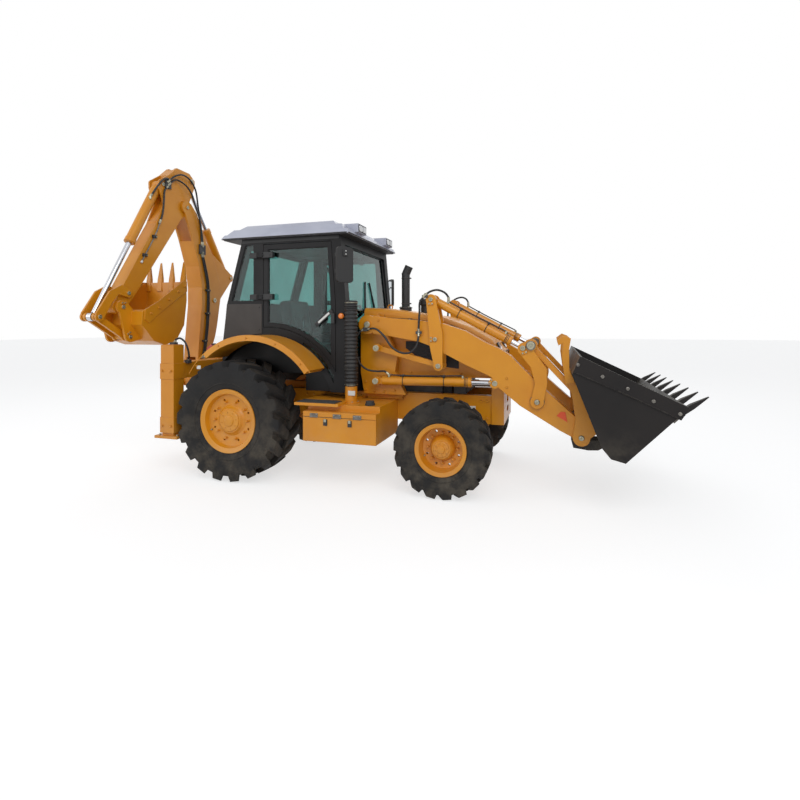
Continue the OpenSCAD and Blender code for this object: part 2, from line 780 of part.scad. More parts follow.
// Steering knuckle: a yoke over and under the beam's end, with the wheel's spindle
module knuckle(side) {
  color(paint) machine() one_side(side) translate([wheelbase, kingpin_y, front_tyre_r]) {
    for (z = [-107, 81]) translate([0, 0, z]) {
      cylinder(r = 62, h = 26);
      translate([-61, 0, 0]) cube([122, 96, 26]);
    }
    translate([-61, 71, -107]) cube([122, 26, 214]);
    translate([0, 80, 0]) rotate([-90, 0, 0]) cylinder(r = spindle_d / 2, h = 105);
    translate([0, 90, 0]) rotate([-90, 0, 0]) cylinder(r = 95, h = 30);
    translate([0, 0, -100]) cylinder(r = kingpin_r, h = 200);
  }
}

module tyre_at(x, y, r, w, bead_r, lug, slant) {
  color(rubber) machine() translate([x, y, r]) tyre(r, w, bead_r, lug, slant);
}

module rear_rim(side) {
  color(paint) machine() one_side(side) translate([0, rear_track_y, rear_tyre_r])
    rim(rear_tyre_r, rear_tyre_w, rear_bead_r, 36, rear_dish_y, 150, rear_dish_y + 65, 205, 10);
}

module front_rim(side) {
  color(paint) machine() one_side(side) translate([wheelbase, front_track_y, front_tyre_r])
    rim(front_tyre_r, front_tyre_w, front_bead_r, 26, -10, 110, 96, 150, 8);
}

module door(side) {
  color(black) machine() one_side(side) {
    difference() {
      slab(cab_y - cab_wall + 6, cab_y) door_shape(side_gap);
      slab(cab_y - cab_wall - 10, cab_y + 10) door_light(0);
    }
    for (z = [1990, 2466]) translate([hinge_x + 40, cab_y - 1, z]) cube([120, 40, 54]);
    for (z = [1990, 2466]) translate([hinge_x, hinge_y, z]) cylinder(r = 24, h = 54);
    for (z = [1990, 2466]) translate([hinge_x, cab_y + 25, z]) cube([60, 30, 54]);
    slab(cab_y - cab_wall + 6, cab_y - 24.4)
      strip([760, 1560], [1080, 1700], 60);
  }
}

module door_glass(side) {
  color(glass) machine() one_side(side)
    slab(cab_y - 24, cab_y - 24 + glass_t) door_light(-0.4);
}

// Loader arm: side outline with the lift cylinder's bracket and a slot for its rod
arm_top = [[60, 96], [198, 75], [559, 46], [832, 12], [1074, -66], [1274, -180], [1424, -246],
  [1537, -315], [1628, -411], [1857, -633], [2208, -946], [2262, -1040]];
arm_low = [[2240, -1150], [2007, -1035], [1628, -811], [1424, -646], [1343, -533], [1074, -412],
  [870, -310], [710, -229], [585, -182], [238, -123], [60, -100]];

module loader_arms() {
  color(paint) machine() {
    both_sides() difference() {
      slab(arm_in_y, arm_out_y) {
        translate(arm_pin) polygon(concat(arm_top, arm_low));
        boss(arm_pin, 104);
        boss(lift_pin, 52);
        boss(bucket_pin, 84);
        boss(front_pin, 110);
      }
      slab(arm_y - 36, arm_y + 36) {
        boss(lift_pin, 150);
        strip(lift_pin + [-10, -40], lift_pin + [-420, -60], 220);
      }
      for (b = [[arm_pin, loader_pin_r], [lever_pin, loader_pin_r], [front_pin, lever_bush_r],
        [bucket_pin, bucket_bush_r]])
        cross_bar(b[0], b[1] + pin_gap, arm_in_y - 1, arm_out_y + 1);
    }
    cross_bar(arm_pin + [1640, -620], 62, -arm_in_y - 1, arm_in_y + 1);
  }
}

module lift_barrels() {
  color(paint) machine() both_sides()
    barrel(lift_base, lift_pin, 62, 1040, lift_barrel_r, loader_rod_r, loader_pin_r, 80, arm_y);
}

module lift_rods() {
  color(steel) machine() both_sides()
    rod(lift_base, lift_pin, 240, loader_rod_r, 46, 60, arm_y);
}

module level_links() {
  color(paint) machine() both_sides() difference() {
    union() {
      slab(arm_y - eye_half, arm_y + eye_half) eye_link(link_pin, lever_low, 44, 38, 56);
      cross_bar(lever_low, 36, arm_y - link_half, arm_y + link_half);
    }
    cross_bar(link_pin, loader_pin_r + pin_gap, arm_in_y, arm_out_y);
  }
}

// Both lever plates beside an arm
module lever_plates() {
  for (y = [lever_in, lever_out]) slab(y, y + lever_t) children();
}

// Pin heads on the outer faces of the lever plates
module pin_heads(p) {
  for (y = [lever_in - 8, lever_out + lever_t - 1]) cross_bar(p, loader_pin_r + 6, y, y + 9);
}

module rear_levers() {
  color(paint) machine() both_sides() {
    lever_plates() {
      polygon([tilt_base + [-52, 0], tilt_base + [52, 0], lever_pin + [78, 60], lever_pin + [78, -40],
        lever_low + [46, 0], lever_low + [-46, 0], lever_pin + [-66, -40], lever_pin + [-66, 60]]);
      boss(tilt_base, 55);
      boss(lever_low, 50);
    }
    cross_bar(lever_pin, loader_pin_r, lever_in + 1, lever_out + lever_t + 12);
    cross_bar(tilt_base, loader_pin_r, lever_in + 1, lever_out + lever_t + 8);
    pin_heads(lever_low);
  }
}

module tilt_barrels() {
  color(paint) machine() both_sides()
    barrel(tilt_base, tilt_pin, 62, 930, tilt_barrel_r, loader_rod_r, loader_pin_r, 60, arm_y);
}

module tilt_rods() {
  color(steel) machine() both_sides()
    rod(tilt_base, tilt_pin, 230, loader_rod_r, 38, 60, arm_y);
}

// Pins that turn in the arms and carry the front levers
module lever_pins() {
  color(steel) machine() both_sides() {
    cross_bar(front_pin, loader_pin_r, lever_in - 12, lever_out + lever_t + 12);
    cross_bar(front_pin, lever_bush_r, arm_in_y, arm_out_y);
  }
}

module front_levers() {
  color(paint) machine() both_sides() difference() {
    front_lever_body();
    for (b = [[front_pin, loader_pin_r], [link_top, link_pin_r]])
      cross_bar(b[0], b[1] + pin_gap, lever_in - 1, lever_out + lever_t + 1);
  }
}

module front_lever_body() {
  lever_plates() {
    polygon([tilt_pin + [-46, 20], tilt_pin + [20, 62], link_top + [44, 10], link_top + [34, -60],
      front_pin + [92, 330], front_pin + [96, 180], front_pin + [66, 20], front_pin + [-60, 10],
      front_pin + [-20, 180], front_pin + [-60, 340], tilt_pin + [-50, -30]]);
    boss(front_pin, 66);
    boss(tilt_pin, 50);
    boss(link_top, 60);
  }
  pin_heads(tilt_pin);
  cross_bar(front_pin + [30, 270], 24, lever_in + 1, lever_out + lever_t - 1);
}

// Short headed pins on both sides of the tilt rod's eye, so that it can pass between them
module link_pins() {
  gap_half = 34;
  pin_l = arm_y - gap_half - lever_in + link_head_t;
  color(steel) machine() both_sides() {
    for (y = [lever_in - link_head_t, arm_y + gap_half])
      cross_bar(link_top, link_pin_r, y, y + pin_l);
    for (y = [lever_in - link_head_t, lever_out + lever_t + seam])
      cross_bar(link_top, link_head_r, y, y + link_head_t - seam);
  }
}

module bucket_links() {
  color(paint) machine() both_sides() difference() {
    union() {
      for (y = [arm_y - 62, arm_y + 40]) slab(y, y + 22) eye_link(link_top, link_end, 56, 31, 52);
      cross_bar((link_top + link_end) / 2, 20, arm_y - 42, arm_y + 42);
      for (y = [arm_y - 69, arm_y + 61]) cross_bar(link_end, loader_pin_r + 2, y, y + 8);
    }
    cross_bar(link_top, link_pin_r + pin_gap, arm_in_y - 20, arm_out_y + 20);
  }
}

// Bucket pins on one through shaft, so that both sides of the bucket turn together
module bucket_pins() {
  shaft_half = lever_in - side_gap;
  color(steel) machine() {
    both_sides() {
      cross_bar(bucket_pin, loader_pin_r, shaft_half - 1, lever_out + lever_t + 8);
      cross_bar(bucket_pin, bucket_bush_r, arm_in_y, arm_out_y);
    }
    cross_bar(bucket_pin, bucket_shaft_r, -shaft_half, shaft_half);
  }
}

// Loader bucket outline from its pivot: back, heel, floor, edge and open mouth
bucket_back = [[-35, 811], [-100, 647], [140, 25], [215, -67], [332, -95]];
bucket_edge = [813, 402];
bucket_hollow = [[-13, 805], [-75, 651], [162, 35], [231, -48], [326, -73]];

back_dir = (bucket_back[1] - bucket_back[2]) / norm(bucket_back[1] - bucket_back[2]);

// Point at a height along the bucket's back and a distance behind it
function behind(t, off) =
  bucket_pin + bucket_back[2] + t * back_dir + off * [-back_dir.y, back_dir.x];

module coupler_plates() {
  lever_plates() {
    polygon([bucket_pin + [-80, 0], bucket_pin + [80, 0], behind(20, seam), behind(650, seam),
      behind(650, 60), behind(420, 75), behind(200, 130), bucket_pin + [-70, 60]]);
    boss(bucket_pin, 80);
  }
  slab(arm_y - 32, arm_y + 32) {
    boss(link_end, 34);
    polygon([behind(330, seam), behind(560, seam), behind(560, 40), behind(480, 70),
      behind(400, 75), behind(330, 40)]);
  }
  slab(-lever_out, lever_out)
    polygon([behind(100, seam), behind(620, seam), behind(620, 22), behind(100, 22)]);
}

// Hooks that hold the bucket's top bar, the outer pair beside the lever plates
module coupler() {
  hook_t = 35;
  color(paint) machine() {
    both_sides() for (y = [lever_out + lever_t - 1, 230]) slab(y, y + hook_t)
      polygon([behind(560, 90), behind(545, 4), behind(600, 4), bucket_pin + [-110, 652],
        bucket_pin + [-112, 850], bucket_pin + [-96, 953], bucket_pin + [-160, 978],
        bucket_pin + [-225, 928], bucket_pin + [-210, 883], bucket_pin + [-166, 911],
        bucket_pin + [-178, 760]]);
    difference() {
      union() {
        coupler_plates();
        mirror([0, 1, 0]) coupler_plates();
      }
      both_sides() {
        cross_bar(bucket_pin, loader_pin_r + pin_gap, lever_in - 10, lever_out + lever_t + 10);
        for (y = [arm_y - 72, arm_y + 34]) cross_bar(link_end, 54, y, y + 38);
      }
    }
  }
}

module loader_bucket() {
  edge_angle = atan2(bucket_edge.y + 95, bucket_edge.x - 332);
  mouth = [bucket_edge, [900, 500], [700, 1000], [60, 1000]];
  color(dark_paint) machine() {
    both_sides() lever_plates() difference() {
      translate(bucket_pin) polygon([[-96, -12], [-74, -96], [62, -112], [150, -106], [222, -62],
        [178, -12]]);
      boss(bucket_pin, 80 + seam);
    }
    difference() {
      slab(-bucket_half_w, bucket_half_w) translate(bucket_pin)
        polygon(concat(bucket_back, [bucket_edge]));
      slab(-bucket_half_w + bucket_side_t, bucket_half_w - bucket_side_t) translate(bucket_pin)
        polygon(concat(bucket_hollow, [bucket_edge + [-8, 16]], mouth));
    }
    for (y = [-bucket_half_w - 12, bucket_half_w - 1]) slab(y, y + 13) translate(bucket_pin)
      polygon([[-35, 811], [-90, 670], [750, 300], [813, 402]]);
    pitch = (2 * bucket_half_w - 90) / (loader_teeth - 1);
    for (i = [0:loader_teeth - 1])
      translate([bucket_pin.x + bucket_edge.x - 60, -bucket_half_w + 45 + i * pitch,
        bucket_pin.y + bucket_edge.y - 50]) rotate([0, -edge_angle + 8, 0])
        tooth(loader_tooth_l, loader_tooth_w, 26);
  }
}

// Side-shift carriage on the stabiliser frame's beams
carriage_t = 70;
jaw_z = [520, 770];
king_pin_r = 45;
module carriage() {
  rear = beam_rear - seam;
  color(paint) machine() {
    translate([rear - carriage_t, -300, beam_low.x - 20])
      cube([carriage_t, 600, beam_high.y - beam_low.x + 60]);
    translate([rear - 1, -300, beam_high.y + seam]) cube([90, 600, 39]);
    translate([rear - 1, -300, beam_low.x - 20]) cube([60, 600, 19.6]);
    for (z = jaw_z) difference() {
      slab_flat(z, z + 70, [[rear - 20, -200], [rear - 20, 200], [kingpost_x - 40, 110],
        [kingpost_x - 110, 60], [kingpost_x - 110, -60], [kingpost_x - 40, -110]]);
      translate([kingpost_x, 0, z - 1]) cylinder(r = king_pin_r + pin_gap, h = 72);
    }
    for (side = [-1, 1]) translate([rear - 60, side * 215, 845]) rotate([0, -90, 0])
      cylinder(r = 45, h = 190);
  }
}

module slab_flat(z0, z1, outline) {
  translate([0, 0, z0]) linear_extrude(z1 - z0) polygon(outline);
}

// Kingpost between the carriage's jaws, with ears for the boom and its cylinder
module kingpost() {
  color(paint) machine() hoe() {
    difference() {
      union() {
        translate([0, 0, jaw_z.x]) cylinder(r = king_pin_r, h = jaw_z.y - jaw_z.x + 90);
        translate([0, 0, jaw_z.x + 75]) cylinder(r = 105, h = jaw_z.y - jaw_z.x - 80);
        slab(-66, 66) {
          polygon([[-100, 845], [130, 845], [180, 940], [120, 1040], [-40, 1110], [-101, 1120],
            [-205, 1120], [-190, 1040]]);
          boss(boom_pin, 72);
        }
        slab(-88, 88) polygon([[-195, 1050], [-105, 1050], [-100, 1120], [-210, 1120]]);
        for (y = [-88, 60]) slab(y, y + 28) {
          polygon([[-195, 1051], [-105, 1051], [-105, 1200], [-215, 1200]]);
          boss(boom_cyl_base, 56);
        }
      }
      cross_bar(boom_pin, hoe_pin_r + pin_gap, -70, 70);
    }
    cross_bar(boom_cyl_base, hoe_pin_r, -96, 96);
  }
}

// Boom outline as [out, up]
boom_tail = [[225, 930], [218, 1060], [127, 1224], [102, 1523], [51, 1969], [51, 2214], [102, 2498],
  [221, 2835], [373, 3190]];
boom_front = [[262, 3310], [150, 3200], [-38, 2838], [-169, 2680], [-308, 2318], [-329, 2075],
  [-262, 1710], [-215, 1531], [-60, 1180], [20, 940]];

module boom() {
  color(paint) machine() hoe() {
    difference() {
      slab(-boom_half_w, boom_half_w) {
        polygon(concat(boom_tail, boom_front));
        boss(boom_pin, 108);
        boss(dipper_pin, 86);
      }
      inner = boom_half_w - boom_plate_t;
      slab(-inner + 14, inner - 14) polygon([[-400, 1000], [0, 800], [240, 800], [240, 1090],
        [30, 1400], [-20, 1900], [-120, 2200], [-400, 2260]]);
      slab(-inner, inner) {
        polygon([[-300, 2990], [-60, 2740], [30, 2760], [420, 2900], [600, 3500], [-100, 3500]]);
      }
      for (p = [boom_pin, dipper_pin])
        cross_bar(p, hoe_pin_r + pin_gap, -boom_half_w - 1, boom_half_w + 1);
    }
    for (y = [-92, 64]) slab(y, y + 28) {
      polygon([[-200, 2700], dipper_cyl_base + [-30, 40], dipper_cyl_base + [-10, -50],
        [-300, 2010], [-280, 2300]]);
      boss(dipper_cyl_base, 56);
    }
    cross_bar(dipper_cyl_base, hoe_pin_r, -100, 100);
    cross_bar(boom_pin, hoe_pin_r, -boom_half_w - 6, boom_half_w + 6);
    for (y = [-boom_half_w - 8, boom_half_w - 1]) cross_bar(boom_cyl_pin, hoe_pin_r + 12, y, y + 9);
  }
}

module boom_barrel() {
  color(paint) machine() hoe()
    barrel(boom_cyl_base, boom_cyl_pin, 50, 740, hoe_barrel_r - 5, hoe_rod_r, hoe_pin_r, 100, 0);
}

module boom_rod() {
  color(steel) machine() hoe()
    rod(boom_cyl_base, boom_cyl_pin, 130, hoe_rod_r, 46, 60, 0);
}

// Dipper outline as [out, up]
dipper_outline = [[1290, 1840], [1390, 1850], [1400, 1935], [1304, 2100], [1000, 2615], [800, 2945],
  [690, 3210], [764, 3400], [764, 3480], [706, 3525], [600, 3600], [470, 3722], [250, 3715],
  [150, 3640], [150, 3560], [250, 3330], [245, 3190], [300, 3150], [394, 3080], [1136, 2020]];

module dipper() {
  color(paint) machine() hoe() {
    difference() {
      slab(-dipper_half_w, dipper_half_w) {
        polygon(dipper_outline);
        boss(nose_pin, 70);
        boss(dipper_pin, 88);
        boss(bucket_cyl_base, 66);
      }
      slab(-45, 45) {
        polygon([[0, 3900], [600, 3900], [470, 3640], [300, 3350], [200, 3300], [0, 3300]]);
      }
      slab(-63, 63) polygon([[640, 3180], [566, 3400], [580, 3500], [640, 3700], [900, 3700],
        [960, 2980], [780, 2980]]);
      for (p = [nose_pin, dipper_pin, idler_pin])
        cross_bar(p, hoe_pin_r + pin_gap, -dipper_half_w - 1, dipper_half_w + 1);
    }
    cross_bar(dipper_pin, hoe_pin_r, -boom_half_w - 8, boom_half_w + 8);
    cross_bar(bucket_cyl_base, hoe_pin_r, -dipper_half_w + 1, dipper_half_w + 6);
    for (y = [-dipper_half_w - 8, dipper_half_w - 1])
      cross_bar(dipper_cyl_pin, hoe_pin_r + 12, y, y + 9);
  }
}

module dipper_barrel() {
  color(paint) machine() hoe()
    barrel(dipper_cyl_base, dipper_cyl_pin, 50, 780, hoe_barrel_r, hoe_rod_r, hoe_pin_r, 108, 0);
}

module dipper_rod() {
  color(steel) machine() hoe()
    rod(dipper_cyl_base, dipper_cyl_pin, 710, hoe_rod_r, 46, 60, 0);
}

module bucket_barrel() {
  color(paint) machine() hoe()
    barrel(bucket_cyl_base, idler_end, 50, 900, hoe_barrel_r, hoe_rod_r, hoe_pin_r, 108, 0);
}

module bucket_rod() {
  color(steel) machine() hoe()
    rod(bucket_cyl_base, idler_end, 845, hoe_rod_r, 46, 60, 0);
}

module idlers() {
  color(paint) machine() hoe() {
    for (y = [-dipper_half_w - 30, dipper_half_w + 8]) slab(y, y + 22) {
      polygon([idler_pin + [-30, 40], idler_pin + [90, 90], idler_pin + [240, 10], idler_end + [40, 40],
        idler_end + [-40, -30], idler_pin + [210, -110], idler_pin + [130, -20], idler_pin + [20, -44]]);
      boss(idler_pin, 48);
      boss(idler_end, 50);
    }
    cross_bar(idler_pin, hoe_pin_r, -dipper_half_w - 34, dipper_half_w + 34);
    for (y = [-dipper_half_w - 34, eye_half + 16])
      cross_bar(idler_end, hoe_pin_r, y, y + dipper_half_w + 18 - eye_half);
  }
}

module hoe_link() {
  color(paint) machine() hoe() difference() {
    union() {
      for (y = [-76, 46]) slab(y, y + 30) eye_link(idler_end, hoe_link_pin, 46, 46, 70);
      cross_bar(hoe_link_pin, hoe_pin_r + 8, -82, 82);
    }
    cross_bar(idler_end, hoe_pin_r + pin_gap, -90, 90);
  }
}

// Digging bucket outlines as [out, up]
dig_outer = [[1225, 1850], [1240, 1700], [1178, 1640], [1064, 1512], [900, 1459], [726, 1501],
  [592, 1698], [548, 2013], [556, 2240], [600, 2240], [1010, 1960], [1200, 1870]];
dig_hollow = [[1199, 2200], [1199, 1850], [1212, 1710], [1160, 1660], [1052, 1536], [898, 1484],
  [742, 1524], [617, 1706], [573, 2013], [580, 2400]];

module digging_bucket() {
  ear_y = dipper_half_w + 40;
  color(paint) machine() hoe() {
    difference() {
      slab(-dig_half_w, dig_half_w) polygon(dig_outer);
      slab(-dig_half_w + 16, dig_half_w - 16) polygon(dig_hollow);
    }
    for (y = [-ear_y - 26, ear_y]) difference() {
      slab(y, y + 26) {
        polygon([nose_pin + [-40, 60], nose_pin + [66, 20], hoe_link_pin + [60, -20],
          hoe_link_pin + [-10, -62], [1100, 1530], [1074, 1535], [1180, 1655], [1231, 1705],
          [1211, 1880]]);
        boss(nose_pin, 78);
        boss(hoe_link_pin, 62);
      }
      cross_bar(nose_pin, hoe_pin_r + pin_gap, y - 1, y + 27);
    }
    cross_bar(nose_pin, hoe_pin_r, -ear_y - 32, ear_y + 32);
    for (y = [-ear_y - 32, dipper_half_w + 6]) cross_bar(hoe_link_pin, hoe_pin_r, y, y + 66);
    for (y = [-dig_half_w - 10, dig_half_w - 1]) slab(y, y + 11)
      polygon([[552, 2120], [556, 2244], [620, 2244], [1010, 1975], [1195, 1876], [1205, 1760],
        [1140, 1720], [1000, 1830], [700, 2030]]);
    pitch = (2 * dig_half_w - 80) / (dig_teeth - 1);
    for (i = [0:dig_teeth - 1]) translate([566, -dig_half_w + 40 + i * pitch, 2130])
      rotate([0, -95, 0]) tooth(dig_tooth_l * 1.9, 74, 24);
  }
}

module leg(side) {
  slack = 0.5;
  inner = leg_wall + slack;
  x0 = beam_rear + inner;
  y0 = leg_out_y - leg_w + inner;
  color(paint) machine() one_side(side) {
    translate([x0, y0, sleeve_low - 30])
      cube([leg_l - 2 * inner, leg_w - 2 * inner, sleeve_top - sleeve_low - 10]);
    translate([beam_rear - 70, leg_out_y - leg_w - 35, sleeve_low - 60])
      cube([leg_l + 130, leg_w + 55, pad_t]);
  }
}

chassis();
stabiliser_frame();
towers();
front_nose();
hood();
engine();
exhaust();
cab_frame();
cab_windows();
roof();
fenders();
interior();
tanks();
lamps_mirrors();
rear_axle();
front_axle();
knuckle(-1);  // knuckle_right
knuckle(1);  // knuckle_left
tyre_at(0, -rear_track_y, rear_tyre_r, rear_tyre_w, rear_bead_r, rear_lug_h, 14);  // tyre_rear_right
tyre_at(0, rear_track_y, rear_tyre_r, rear_tyre_w, rear_bead_r, rear_lug_h, 14);  // tyre_rear_left
tyre_at(wheelbase, -front_track_y, front_tyre_r, front_tyre_w, front_bead_r, front_lug_h, 12);  // tyre_front_right
tyre_at(wheelbase, front_track_y, front_tyre_r, front_tyre_w, front_bead_r, front_lug_h, 12);  // tyre_front_left
rear_rim(-1);  // rim_rear_right
rear_rim(1);  // rim_rear_left
front_rim(-1);  // rim_front_right
front_rim(1);  // rim_front_left
door(-1);  // door_right
door(1);  // door_left
door_glass(-1);  // door_glass_right
door_glass(1);  // door_glass_left
loader_arms();
lift_barrels();
lift_rods();
level_links();
rear_levers();
tilt_barrels();
tilt_rods();
lever_pins();
front_levers();
link_pins();
bucket_links();
bucket_pins();
coupler();
loader_bucket();
carriage();
kingpost();
boom();
boom_barrel();
boom_rod();
dipper();
dipper_barrel();
dipper_rod();
bucket_barrel();
bucket_rod();
idlers();
hoe_link();
digging_bucket();
leg(-1);  // leg_right
leg(1);  // leg_left
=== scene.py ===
"""Looks of a backhoe loader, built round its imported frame.

The frame's nodes get their finishes here. Trim, hoses, lamps, seat and tyres are added, in metres.
Machine places are measured forward, left and up from the ground under the rear axle.
Backhoe places are measured out from the slew axis, across the boom and up.
"""

import json
import math

import bmesh
import bpy
from bpy.props import FloatProperty, FloatVectorProperty, IntProperty, PointerProperty
from mathutils import Matrix, Vector


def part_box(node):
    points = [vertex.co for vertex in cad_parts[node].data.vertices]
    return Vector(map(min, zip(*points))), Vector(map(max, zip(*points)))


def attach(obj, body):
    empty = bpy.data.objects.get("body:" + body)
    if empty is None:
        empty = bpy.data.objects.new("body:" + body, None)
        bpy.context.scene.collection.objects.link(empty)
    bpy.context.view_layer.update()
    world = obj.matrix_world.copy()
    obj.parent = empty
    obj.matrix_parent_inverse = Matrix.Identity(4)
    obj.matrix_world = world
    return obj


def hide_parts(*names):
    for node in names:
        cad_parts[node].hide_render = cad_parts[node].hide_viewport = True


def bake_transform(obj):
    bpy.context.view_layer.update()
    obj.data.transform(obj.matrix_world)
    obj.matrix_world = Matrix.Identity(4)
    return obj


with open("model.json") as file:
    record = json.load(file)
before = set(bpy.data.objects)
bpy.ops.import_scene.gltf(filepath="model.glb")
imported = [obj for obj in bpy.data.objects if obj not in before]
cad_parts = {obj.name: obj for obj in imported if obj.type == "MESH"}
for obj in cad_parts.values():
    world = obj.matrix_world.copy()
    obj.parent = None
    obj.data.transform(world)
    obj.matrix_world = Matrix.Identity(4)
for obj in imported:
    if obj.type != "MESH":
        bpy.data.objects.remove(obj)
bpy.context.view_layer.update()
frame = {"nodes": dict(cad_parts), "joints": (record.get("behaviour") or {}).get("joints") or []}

bl_info = {
    "name": "Backhoe loader looks",
    "version": (1, 0, 0),
    "blender": (4, 5, 0),
    "location": "View3D > Sidebar > Loader",
    "description": "Finishes, tyres, trim, hoses and stage of a backhoe loader",
    "category": "Object",
}

JOINTS = {j["name"]: j for j in frame["joints"]}
PINS = {name: Vector(j["pos_m"]) for name, j in JOINTS.items() if "pos_m" in j}
AXLE = (PINS["spin_rear_right"] + PINS["spin_rear_left"]) / 2
SLEW = PINS["swing"]
SIDES = {"right": -1, "left": 1}
FINISH_PREFIX = "loader_"


# Places

def at(forward, left, up):
    """Row-frame point of a machine place."""
    return Vector((AXLE.x + forward, AXLE.y + left, up))


def hoe(out, across, up):
    """Row-frame point of a backhoe place: the boom is slewed to the machine's right."""
    return Vector((SLEW.x + across, SLEW.y - out, up))


def placed(forward, left, up):
    """Matrix that moves the origin to a machine place."""
    return Matrix.Translation(at(forward, left, up))


def shifted(x, y, z):
    """Matrix of a shift."""
    return Matrix.Translation((x, y, z))


def spun(degrees, axis):
    """Matrix of a turn about an axis."""
    return Matrix.Rotation(math.radians(degrees), 4, axis)


def facing(origin, out):
    """Matrix at origin whose z runs along out."""
    turn = Vector((0, 0, 1)).rotation_difference(Vector(out))
    return Matrix.Translation(origin) @ turn.to_matrix().to_4x4()


def basis(origin, forward, up=(0, 0, 1)):
    """Matrix at origin whose x runs along forward and whose z is as near to up as it can be."""
    x = Vector(forward).normalized()
    y = Vector(up).cross(x)
    if y.length < 1e-6:
        y = Vector((0, 1, 0))
    y.normalize()
    z = x.cross(y)
    turned = Matrix((x, y, z)).transposed().to_4x4()
    turned.translation = Vector(origin)
    return turned


def arc(centre, radius, start, end, count):
    """Points of an arc in a plane, as pairs, with angles in degrees."""
    step = (end - start) / (count - 1)
    return [(centre[0] + radius * math.cos(math.radians(start + i * step)),
             centre[1] + radius * math.sin(math.radians(start + i * step))) for i in range(count)]


def rounded(width, height, radius, count=4):
    """Outline of a rectangle about the origin with round corners."""
    x, y = width / 2 - radius, height / 2 - radius
    corners = [((x, y), 0), ((-x, y), 90), ((-x, -y), 180), ((x, -y), 270)]
    return [p for centre, start in corners for p in arc(centre, radius, start, start + 90, count)]


def circle(radius, height, count, start=0):
    """Points round the z axis at a height, as vectors, from a start angle in degrees."""
    angles = [math.radians(start + 360 * k / count) for k in range(count)]
    return [Vector((radius * math.cos(a), radius * math.sin(a), height)) for a in angles]


def hexagon(radius):
    """Outline of a hexagon about the origin, radius out to its corners."""
    return [(p.x, p.y) for p in circle(radius, 0, 6)]


# Bolt sizes of clips, trim, plates, panels, feet and teeth
SMALL_BOLT = 0.008
TRIM_BOLT = 0.010
PLATE_BOLT = 0.012
PANEL_BOLT = 0.014
FOOT_BOLT = 0.020
TOOTH_BOLT = 0.022


# Shapes

